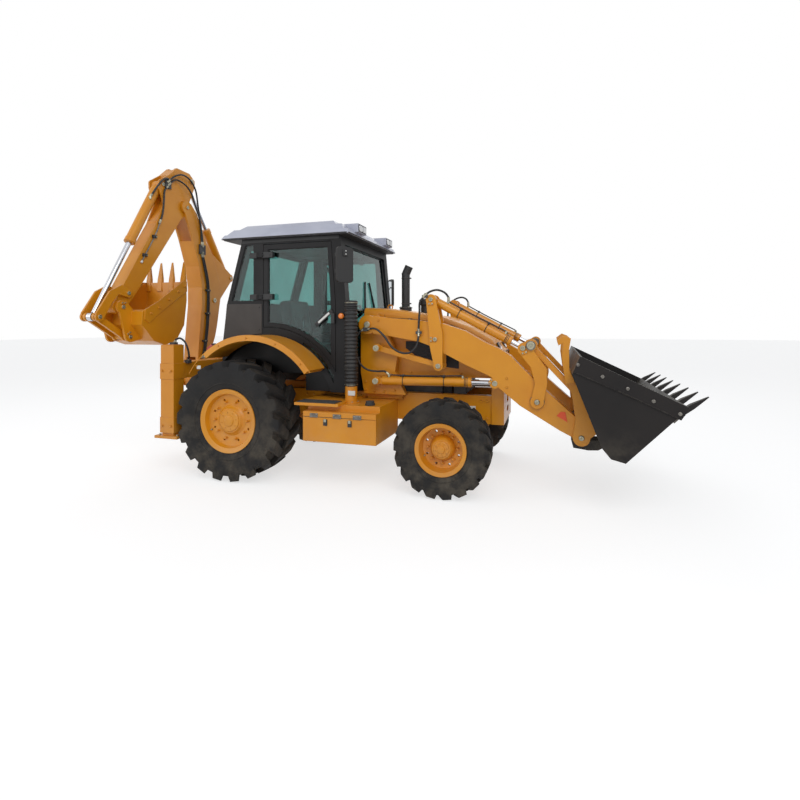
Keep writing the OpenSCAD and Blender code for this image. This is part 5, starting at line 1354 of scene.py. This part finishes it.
def build_tank_trim(s):
    """Seams, hinges, latches, pads and caps of the tank and toolbox, and the frame's bolts."""
    shape = Shape("tank_and_frame_trim")
    for side in SIDES.values():
        out = (0, side, 0)
        for x in (1.020, 1.280, 1.500):
            shape.box(at(x, side * 1.102, 0.772), (0.090, 0.006, 0.036), "bare_steel", 0.001)
            shape.drum(at(x - 0.045, side * TANK_SIDE, LID_SEAM),
                       at(x + 0.045, side * TANK_SIDE, LID_SEAM), 0.006, "bare_steel", 12)
            for dx in (-0.030, 0.030):
                shape.bolt(at(x + dx, side * TANK_SIDE, 0.780), out, 0.007, "zinc")
        for x in (1.150, 1.420):
            shape.box(at(x, side * 1.103, 0.700), (0.042, 0.010, 0.060), "moulded_black", 0.003)
            shape.box(at(x, side * 1.109, 0.722), (0.026, 0.012, 0.030), "zinc", 0.003)
        shape.sweep([at(0.894, side * 1.0995, LID_SEAM), at(1.570, side * 1.0995, LID_SEAM)],
                    0.0022, "hose_rubber", 6)
        pad = at(1.020, side * 0.985, 0.8925)
        shape.box(pad, (0.440, 0.170, 0.006), "moulded_black", 0.002)
        for k in range(9):
            shape.box(pad + Vector((0, -0.072 + 0.018 * k, 0.005)), (0.426, 0.007, 0.006),
                      "moulded_black", 0.002)
        cap = at(1.560, side * 0.900, 0.866)
        shape.turned(cap,
                     [(0, 0), (0.052, 0), (0.052, 0.018), (0.045, 0.020), (0.045, 0.038),
                      (0.040, 0.044), (0, 0.046)], "moulded_black", 32)
        for x, z in ((1.360, 0.975), (1.470, 0.960), (1.580, 0.960), (1.700, 0.975), (1.360, 1.060),
                     (1.700, 1.060)):
            shape.bolt(at(x, side * 0.520, z), out, s.bolt_size, "paint")
        for x in (-0.560, -0.450, 0.560, 0.650, 2.250, 2.350, 2.640, 2.700):
            for z in (0.700, 0.880):
                shape.bolt(at(x, side * 0.400, z), out, s.bolt_size, "paint")
        shape.box(at(2.537, side * 0.401, 0.800), (0.080, 0.003, 0.050), "bare_plate", 0.001)
        shape.box(at(-0.386, side * 1.1205, 1.228), (0.052, 0.002, 0.040), "bare_plate", 0.0005)
        for a in (44, 68, 92, 116, 140):
            shape.bolt(on_arch(side, ARCH_BOLTS, a, 1.120), out, PANEL_BOLT, "paint")
        guard = [on_arch(side, ARCH_BEAD, a, 1.116) for a in range(35, 151, 3)]
        shape.sweep(guard, 0.005, "paint", 8)
        for x, z in ((-0.790, 0.560), (-0.790, 1.180)):
            for dx in (-0.060, 0.060):
                shape.bolt(at(x + dx, side * 1.156, z), out, s.bolt_size, "paint")
        cover = at(-0.7885, side * 1.0725, 1.470)
        shape.box(cover + Vector((0, 0, 0.003)), (0.150, 0.130, 0.006), "paint", 0.002)
        shape.box(cover + Vector((0.020, 0, 0.016)), (0.060, 0.060, 0.028), "casting", 0.004)
    shape.done("machine")


# Underside of the rolled-back bucket from its pin, forward and up, and its eight teeth's span
EDGE_START = (0.332, -0.095)
EDGE_END = (0.813, 0.402)
TOOTH_SPAN = 2.170


def build_bucket_trim():
    """Wear strips, edge plate, tooth bolts, side bolts and lips of the loader bucket."""
    shape = Shape("bucket_trim")
    pivot = pin_place("bucket_pin_turn")
    run_x, run_z = EDGE_END[0] - EDGE_START[0], EDGE_END[1] - EDGE_START[1]
    edge_angle = math.atan2(run_z, run_x)
    run = Vector((math.cos(edge_angle), 0, math.sin(edge_angle)))
    up = Vector((-run.z, 0, run.x))
    start = at(pivot[0] + EDGE_START[0], 0, pivot[1] + EDGE_START[1])
    length = math.hypot(run_x, run_z)
    for k in range(4):
        y = -0.84 + 0.56 * k
        shape.box(basis(start + run * length * 0.47 + Vector((0, y, 0)) - up * 0.005, run, up),
                  (length * 0.86, 0.060, 0.010), "bucket_black", 0.003)
    shape.box(basis(start + run * (length - 0.10) - up * 0.006, run, up), (0.150, 2.250, 0.014),
              "bare_steel", 0.003)
    for k in range(8):
        y = TOOTH_SPAN * (k / 7 - 0.5)
        spot = start + run * (length - 0.045) + Vector((0, y, 0))
        for reach in (-0.028, 0.028):
            shape.bolt(spot + run * reach - up * 0.013, -up, TOOTH_BOLT, "bare_steel")
    for side in SIDES.values():
        for k in range(5):
            t = k / 4
            x = pivot[0] - 0.060 + t * 0.790
            z = pivot[1] + 0.735 - t * 0.385
            shape.bolt(at(x + 0.010, side * 1.142, z), (0, side, 0), TOOTH_BOLT, "bare_steel")
        corners = ((-0.088, 0.672), (0.330, 0.494), (0.748, 0.302))
        lip = [at(pivot[0] + x, side * 1.1425, pivot[1] + z) for x, z in corners]
        shape.sweep(lip, 0.005, "bucket_black", 8)
    shape.done("loader_bucket")


# Backhoe trim

# Radii of the smaller and the larger pins of the backhoe
HOE_PIN = 0.023
HOE_LARGE_PIN = 0.033


def hoe_pins():
    """Body, place as out and up, face across and radius of each backhoe pin.

    The last entry is the angle and the reach of its keeper.
    """
    return [
        ("boom", (0.120, 0.980), 0.123, HOE_PIN, (60, 0.045)),
        ("boom", (-0.200, 2.050), 0.125, HOE_LARGE_PIN, None),
        ("dipper", (0.327, 3.243), 0.125, HOE_PIN, None),
        ("dipper", (0.212, 3.618), 0.090, HOE_LARGE_PIN, None),
        ("boom", (-0.590, 2.400), 0.100, HOE_PIN, None),
        ("idlers", (1.231, 2.058), 0.116, HOE_PIN, None),
        ("idlers", (1.595, 1.784), 0.116, HOE_PIN, None),
        ("digging_bucket", (1.339, 1.897), 0.154, HOE_PIN, (90, 0.046)),
        ("digging_bucket", (1.245, 1.564), 0.154, HOE_PIN, (60, 0.046)),
        ("kingpost", (-0.160, 1.200), 0.096, HOE_PIN, None),
    ]


# Span of the digging bucket's four teeth
DIGGING_TOOTH_SPAN = 0.530

# Hoses of the backhoe: body at its first and at its last end, and its route as out, across and up
HOE_HOSES = [("boom_hose_a", "dipper", "boom",
              [(0.640, 0.104, 3.500), (0.539, 0.120, 3.596), (0.412, 0.128, 3.645),
               (0.281, 0.130, 3.610), (0.186, 0.130, 3.500), (0.144, 0.130, 3.312),
               (0.102, 0.130, 3.123), (0.062, 0.130, 2.913), (0.050, 0.130, 2.800)]),
             ("boom_hose_b", "dipper", "boom",
              [(0.620, 0.096, 3.470), (0.514, 0.108, 3.556), (0.387, 0.140, 3.522),
               (0.294, 0.156, 3.431), (0.227, 0.156, 3.293), (0.144, 0.154, 3.134),
               (0.093, 0.140, 2.968), (0.080, 0.130, 2.890), (0.075, 0.130, 2.800)]),
             ("boom_line_a", "boom", None,
              [(0.046, 0.130, 2.660), (0.000, 0.130, 2.520), (-0.060, 0.130, 2.300),
               (-0.075, 0.130, 2.050), (-0.055, 0.130, 1.700), (-0.010, 0.130, 1.400),
               (0.030, 0.130, 1.250)]),
             ("boom_line_b", "boom", None,
              [(0.072, 0.130, 2.660), (0.028, 0.130, 2.510), (-0.030, 0.130, 2.290),
               (-0.044, 0.130, 2.050), (-0.024, 0.130, 1.700), (0.020, 0.130, 1.410),
               (0.060, 0.130, 1.260)]),
             ("dipper_hose", "dipper", None,
              [(0.640, 0.094, 3.440), (0.690, 0.096, 3.370), (0.700, 0.096, 3.260),
               (0.712, 0.096, 3.139), (0.731, 0.096, 3.045), (0.766, 0.096, 2.966)]),
             ("barrel_hose", "dipper", "bucket_barrel",
              [(0.612, 0.092, 3.500), (0.650, 0.110, 3.530), (0.720, 0.116, 3.505),
               (0.790, 0.104, 3.420), (0.832, 0.075, 3.330), (0.850, 0.040, 3.265)])]


# Steel pipe along the dipper, out, across and up
DIPPER_PIPE = [(0.768, 0.096, 2.960), (0.800, 0.096, 2.869), (0.890, 0.094, 2.692),
               (0.988, 0.094, 2.528), (1.028, 0.094, 2.454)]


def build_hoe_trim(s):
    """Pin ends, hoses, pipes, clamps and bolts of the backhoe."""
    shapes = {body: Shape("hoe_trim_" + body)
              for body in ("boom", "dipper", "idlers", "digging_bucket", "kingpost",
                           "bucket_barrel", "carriage")}
    for body, (out, up), face, radius, kept in hoe_pins():
        for across in (-1, 1):
            pin_end(shapes[body], hoe(out, across * face, up), (across, 0, 0), radius)
            if kept:
                angle, reach = math.radians(kept[0]), kept[1]
                plate = face - KEEPER_SINK
                spot = hoe(out + reach * math.cos(angle), across * plate,
                           up + reach * math.sin(angle))
                m = basis(spot, (0, -math.cos(angle), math.sin(angle)), (across, 0, 0))
                shapes[body].box(m @ shifted(0, 0, 0.004), (0.026, 0.056, 0.010), "paint", 0.003)
                for k in KEEPER_HOLES:
                    shapes[body].bolt(m @ Vector((0, k, 0.009)), (across, 0, 0), PLATE_BOLT,
                                      "zinc")
    pin_end(shapes["dipper"], hoe(0.700, 0.088, 3.450), (1, 0, 0), HOE_PIN)
    for name, first, last, route in HOE_HOSES:
        line = smooth_path([hoe(*p) for p in route], 6)
        hose(name, line, s.hose_radius, first, last)
        for body, p, along in ((first, line[0], line[2] - line[0]),
                               (last or first, line[-1], line[-3] - line[-1])):
            hose_end(shapes[body], p, along, s.hose_radius)
    boom, dipper = shapes["boom"], shapes["dipper"]
    boom.box(hoe(0.060, 0.128, 2.730), (0.026, 0.110, 0.130), "casting", 0.004)
    for up in (2.69, 2.77):
        boom.bolt(hoe(0.060, 0.141, up), (1, 0, 0), PANEL_BOLT, "zinc")
    for out, up in ((-0.050, 2.180), (-0.046, 1.860), (0.010, 1.480)):
        boom.box(hoe(out, 0.128, up), (0.030, 0.085, 0.026), "moulded_black", 0.004)
        boom.bolt(hoe(out, 0.143, up), (1, 0, 0), TRIM_BOLT, "zinc")
    dipper.box(hoe(0.632, 0.090, 3.470), (0.030, 0.090, 0.110), "casting", 0.004)
    dipper.sweep(smooth_path([hoe(*p) for p in DIPPER_PIPE], 5), 0.008, "bare_steel", 12)
    for out, up in ((0.846, 2.772), (0.988, 2.528)):
        dipper.box(hoe(out, 0.093, up), (0.028, 0.060, 0.034), "moulded_black", 0.004)
        dipper.bolt(hoe(out - 0.018, 0.107, up - 0.002), (1, 0, 0), TRIM_BOLT, "zinc")
    dipper.drum(hoe(*DIPPER_PIPE[-1]), hoe(1.041, 0.094, 2.430), 0.014, "bare_plate", 16)
    barrel = shapes["bucket_barrel"]
    barrel.drum(hoe(0.858, 0.040, 3.225), hoe(0.846, 0.040, 3.285), 0.014, "zinc", 14)
    for across in (-0.150, 0.150):
        shapes["carriage"].bolt(at(-0.948, across, 1.240), (-1, 0, 0), s.bolt_size * 1.3, "paint")
    for across in (-0.260, 0.260):
        for up in (0.540, 0.620, 1.130, 1.220):
            shapes["carriage"].bolt(at(-0.9475, across, up), (-1, 0, 0), s.bolt_size * 1.3, "paint")
    bucket = shapes["digging_bucket"]
    for k in range(4):
        across = DIGGING_TOOTH_SPAN * (k / 3 - 0.5)
        for up in (2.175, 2.215):
            bucket.bolt(hoe(0.548, across, up), (0, 1, 0), FOOT_BOLT, "bare_steel")
    for out, up in ((0.590, 2.180), (0.700, 2.110), (0.850, 2.005), (1.000, 1.900), (1.120, 1.830)):
        bucket.bolt(hoe(out, 0.315, up), (1, 0, 0), FOOT_BOLT, "paint")
    for body, shape in shapes.items():
        shape.done(body)


# Hose loops beside the stabiliser, forward, outwards and up
LOOP_ROUTE = [(-0.765, 1.060, 1.490), (-0.750, 1.060, 1.530), (-0.700, 1.050, 1.545),
              (-0.650, 1.030, 1.500), (-0.630, 1.010, 1.420), (-0.640, 0.980, 1.340),
              (-0.684, 0.945, 1.284)]


def build_stabiliser_trim(s):
    """Hoses and lock valves of the stabilisers, with the bolts of their feet."""
    fittings = Shape("stabiliser_fittings")
    for name, side in SIDES.items():
        line = smooth_path([at(x, side * y, z) for x, y, z in LOOP_ROUTE], 6)
        hose("stabiliser_hose_" + name, line, s.hose_radius, "machine")
        hose_end(fittings, line[0], line[2] - line[0], s.hose_radius)
        hose_end(fittings, line[-1], line[-3] - line[-1], s.hose_radius)
        fittings.box(at(-0.690, side * 0.940, 1.275), (0.050, 0.060, 0.040), "casting")
        foot = Shape("foot_trim_" + name)
        for x in (-0.905, -0.665):
            for y in (0.985, 1.130):
                foot.bolt(at(x, side * y, 0.450), (0, 0, 1), FOOT_BOLT, "zinc")
        foot.done("leg_" + name)
    fittings.done("machine")


# Stage

# The camera that the photo was fitted with: focal length in mm, shifts, place and turn
PHOTO_LENS = 21.65
PHOTO_SHIFT = (-0.0121, -0.093)
PHOTO_EYE = (3.387, -5.553, 1.690)
PHOTO_TURN = 0.292
# Point that the lamps face
LAMP_AIM = (1.2, 0, 1.2)
FLOOR_GLOW = 0.64
WORLD_STRENGTH = 0.45


def seen_rays(tree):
    """Mask of the rays that show a surface to the camera, straight or by a mirror or a pane."""
    path = new_node(tree, "ShaderNodeLightPath")
    bent = math_node(tree, "MAXIMUM", path.outputs["Is Glossy Ray"],
                     path.outputs["Is Transmission Ray"])
    return math_node(tree, "MAXIMUM", path.outputs["Is Camera Ray"], bent)


def build_stage(s):
    """Floor, soft lights and the camera at the photograph's angle."""
    mesh = bpy.data.meshes.new("floor")
    half = s.floor_size / 2
    mesh.from_pydata([(-half, -half, 0), (half, -half, 0), (half, half, 0), (-half, half, 0)], [],
                     [(0, 1, 2, 3)])
    floor = bpy.data.objects.new("floor", mesh)
    bpy.context.scene.collection.objects.link(floor)
    material, tree, shader = new_material("floor_white")
    shader.inputs["Roughness"].default_value = 0.9
    shader.inputs["Emission Color"].default_value = (1, 1, 1, 1)
    coords = new_node(tree, "ShaderNodeTexCoord")
    faint = noise(tree, coords.outputs["Object"], 0.6, 2.0)
    pale = blend_colours(tree, faint, (0.78, 0.78, 0.78, 1), (0.82, 0.82, 0.82, 1))
    seen = seen_rays(tree)
    tree.links.new(blend_colours(tree, seen, pale, (0.46, 0.46, 0.46, 1)),
                   shader.inputs["Base Color"])
    tree.links.new(math_node(tree, "MULTIPLY", seen, FLOOR_GLOW),
                   shader.inputs["Emission Strength"])
    mesh.materials.append(material)

    world = bpy.data.worlds.new("studio")
    bpy.context.scene.world = world
    world.use_nodes = True
    tree = world.node_tree
    tree.nodes.clear()
    out = new_node(tree, "ShaderNodeOutputWorld")
    light = new_node(tree, "ShaderNodeBackground",
                     {"Color": (0.93, 0.96, 1.0, 1), "Strength": WORLD_STRENGTH})
    seen = new_node(tree, "ShaderNodeBackground", {"Color": (1, 1, 1, 1), "Strength": 1.0})
    mix = new_node(tree, "ShaderNodeMixShader")
    tree.links.new(seen_rays(tree), mix.inputs[0])
    tree.links.new(light.outputs[0], mix.inputs[1])
    tree.links.new(seen.outputs[0], mix.inputs[2])
    tree.links.new(mix.outputs[0], out.inputs[0])

    lamps = [("key", at(5.5, -7.5, 7.5), 6.0, s.key_power),
             ("fill", at(-5.0, -6.5, 4.0), 6.0, s.key_power * 0.35),
             ("back", at(-1.0, 7.0, 7.0), 7.0, s.key_power * 0.5)]
    for name, place, size, power in lamps:
        lamp = bpy.data.lights.new(name, "AREA")
        lamp.size = size
        lamp.energy = power
        made = bpy.data.objects.new(name, lamp)
        made.location = place
        made.rotation_euler = (at(*LAMP_AIM) - place).to_track_quat("-Z", "Y").to_euler()
        bpy.context.scene.collection.objects.link(made)

    view = bpy.context.scene.view_settings
    view.view_transform = "Standard"
    data = bpy.data.cameras.new("photo_camera")
    data.sensor_width = 36.0
    data.lens = PHOTO_LENS
    data.shift_x, data.shift_y = PHOTO_SHIFT
    data.clip_start, data.clip_end = 0.05, 500
    camera = bpy.data.objects.new("photo_camera", data)
    camera.location = at(*PHOTO_EYE)
    camera.rotation_euler = (math.radians(90), 0, PHOTO_TURN)
    bpy.context.scene.collection.objects.link(camera)
    bpy.context.scene.camera = camera


class LOOKS_OT_stage(bpy.types.Operator):
    """Make the floor, the lights and the camera"""
    bl_idname = "looks.stage"
    bl_label = "Stage"

    def execute(self, context):
        build_stage(context.scene.machine_looks)
        return {"FINISHED"}


class LOOKS_OT_finishes(bpy.types.Operator):
    """Give every frame node its finish"""
    bl_idname = "looks.finishes"
    bl_label = "Finishes"

    def execute(self, context):
        build_finishes(context.scene.machine_looks)
        return {"FINISHED"}


class LOOKS_OT_tyres(bpy.types.Operator):
    """Build the four tyres over their plain solids"""
    bl_idname = "looks.tyres"
    bl_label = "Tyres"

    def execute(self, context):
        build_tyres(context.scene.machine_looks)
        return {"FINISHED"}


class LOOKS_OT_wheel_trim(bpy.types.Operator):
    """Make the nuts, hub caps and valves"""
    bl_idname = "looks.wheel_trim"
    bl_label = "Wheel trim"

    def execute(self, context):
        build_wheel_trim()
        return {"FINISHED"}


class LOOKS_OT_lamps_mirrors(bpy.types.Operator):
    """Make the mirrors, side lamps and tail lamps"""
    bl_idname = "looks.lamps_mirrors"
    bl_label = "Lamps and mirrors"

    def execute(self, context):
        build_lamps_mirrors()
        return {"FINISHED"}


class LOOKS_OT_roof_trim(bpy.types.Operator):
    """Make the roof lamps and the rim under the roof"""
    bl_idname = "looks.roof_trim"
    bl_label = "Roof trim"

    def execute(self, context):
        build_roof_trim()
        return {"FINISHED"}


class LOOKS_OT_cab_trim(bpy.types.Operator):
    """Make the seals, panels, latches and wipers"""
    bl_idname = "looks.cab_trim"
    bl_label = "Cab trim"

    def execute(self, context):
        build_cab_trim()
        return {"FINISHED"}


class LOOKS_OT_seat(bpy.types.Operator):
    """Make the seat cushions and armrests"""
    bl_idname = "looks.seat"
    bl_label = "Seat"

    def execute(self, context):
        build_seat()
        return {"FINISHED"}


class LOOKS_OT_controls(bpy.types.Operator):
    """Make the steering wheel rim, levers and instruments"""
    bl_idname = "looks.controls"
    bl_label = "Controls"

    def execute(self, context):
        build_controls()
        return {"FINISHED"}


class LOOKS_OT_column(bpy.types.Operator):
    """Make the corrugated column beside the cab"""
    bl_idname = "looks.column"
    bl_label = "Column"

    def execute(self, context):
        build_column()
        return {"FINISHED"}


class LOOKS_OT_bonnet_trim(bpy.types.Operator):
    """Make the seams, latches, grille and lamps of the bonnet"""
    bl_idname = "looks.bonnet_trim"
    bl_label = "Bonnet trim"

    def execute(self, context):
        build_bonnet_trim()
        return {"FINISHED"}


class LOOKS_OT_tank_trim(bpy.types.Operator):
    """Make the hinges, steps, caps and bolts along the frame"""
    bl_idname = "looks.tank_trim"
    bl_label = "Tank trim"

    def execute(self, context):
        build_tank_trim(context.scene.machine_looks)
        return {"FINISHED"}


class LOOKS_OT_loader_trim(bpy.types.Operator):
    """Make the pin ends, keepers and reflectors"""
    bl_idname = "looks.loader_trim"
    bl_label = "Loader trim"

    def execute(self, context):
        build_loader_trim(context.scene.machine_looks)
        return {"FINISHED"}


class LOOKS_OT_cylinders(bpy.types.Operator):
    """Make the pipes and glands of the loader cylinders"""
    bl_idname = "looks.cylinders"
    bl_label = "Loader cylinders"

    def execute(self, context):
        build_cylinders()
        return {"FINISHED"}


class LOOKS_OT_loader_hoses(bpy.types.Operator):
    """Make the hoses of the loader cylinders"""
    bl_idname = "looks.loader_hoses"
    bl_label = "Loader hoses"

    def execute(self, context):
        build_loader_hoses(context.scene.machine_looks)
        return {"FINISHED"}


class LOOKS_OT_bucket_trim(bpy.types.Operator):
    """Make the wear strips and bolts of the loader bucket"""
    bl_idname = "looks.bucket_trim"
    bl_label = "Bucket trim"

    def execute(self, context):
        build_bucket_trim()
        return {"FINISHED"}


class LOOKS_OT_hoe_trim(bpy.types.Operator):
    """Make the pin ends, hoses, pipes and bolts of the backhoe"""
    bl_idname = "looks.hoe_trim"
    bl_label = "Backhoe trim"

    def execute(self, context):
        build_hoe_trim(context.scene.machine_looks)
        return {"FINISHED"}


class LOOKS_OT_stabiliser_trim(bpy.types.Operator):
    """Make the hoses and foot bolts of the stabilisers"""
    bl_idname = "looks.stabiliser_trim"
    bl_label = "Stabiliser trim"

    def execute(self, context):
        build_stabiliser_trim(context.scene.machine_looks)
        return {"FINISHED"}


OPERATORS = (LOOKS_OT_stage, LOOKS_OT_finishes, LOOKS_OT_tyres, LOOKS_OT_wheel_trim,
             LOOKS_OT_lamps_mirrors, LOOKS_OT_roof_trim, LOOKS_OT_cab_trim, LOOKS_OT_seat,
             LOOKS_OT_controls, LOOKS_OT_column, LOOKS_OT_bonnet_trim, LOOKS_OT_tank_trim,
             LOOKS_OT_loader_trim, LOOKS_OT_cylinders, LOOKS_OT_loader_hoses, LOOKS_OT_bucket_trim,
             LOOKS_OT_hoe_trim, LOOKS_OT_stabiliser_trim)


class LOOKS_PT_panel(bpy.types.Panel):
    """Settings and steps of the machine's looks"""
    bl_idname = "LOOKS_PT_panel"
    bl_label = "Backhoe loader looks"
    bl_space_type = "VIEW_3D"
    bl_region_type = "UI"
    bl_category = "Loader"

    def draw(self, context):
        for name in LooksSettings.__annotations__:
            self.layout.prop(context.scene.machine_looks, name)
        for step in OPERATORS:
            self.layout.operator(step.bl_idname)


def register():
    for cls in (LooksSettings, *OPERATORS, LOOKS_PT_panel):
        bpy.utils.register_class(cls)
    bpy.types.Scene.machine_looks = PointerProperty(type=LooksSettings)


def unregister():
    del bpy.types.Scene.machine_looks
    for cls in (LOOKS_PT_panel, *reversed(OPERATORS), LooksSettings):
        bpy.utils.unregister_class(cls)


def main():
    """Run every step in order."""
    register()
    for step in OPERATORS:
        group, name = step.bl_idname.split(".")
        getattr(getattr(bpy.ops, group), name)()
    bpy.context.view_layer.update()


if __name__ == "__main__":
    main()
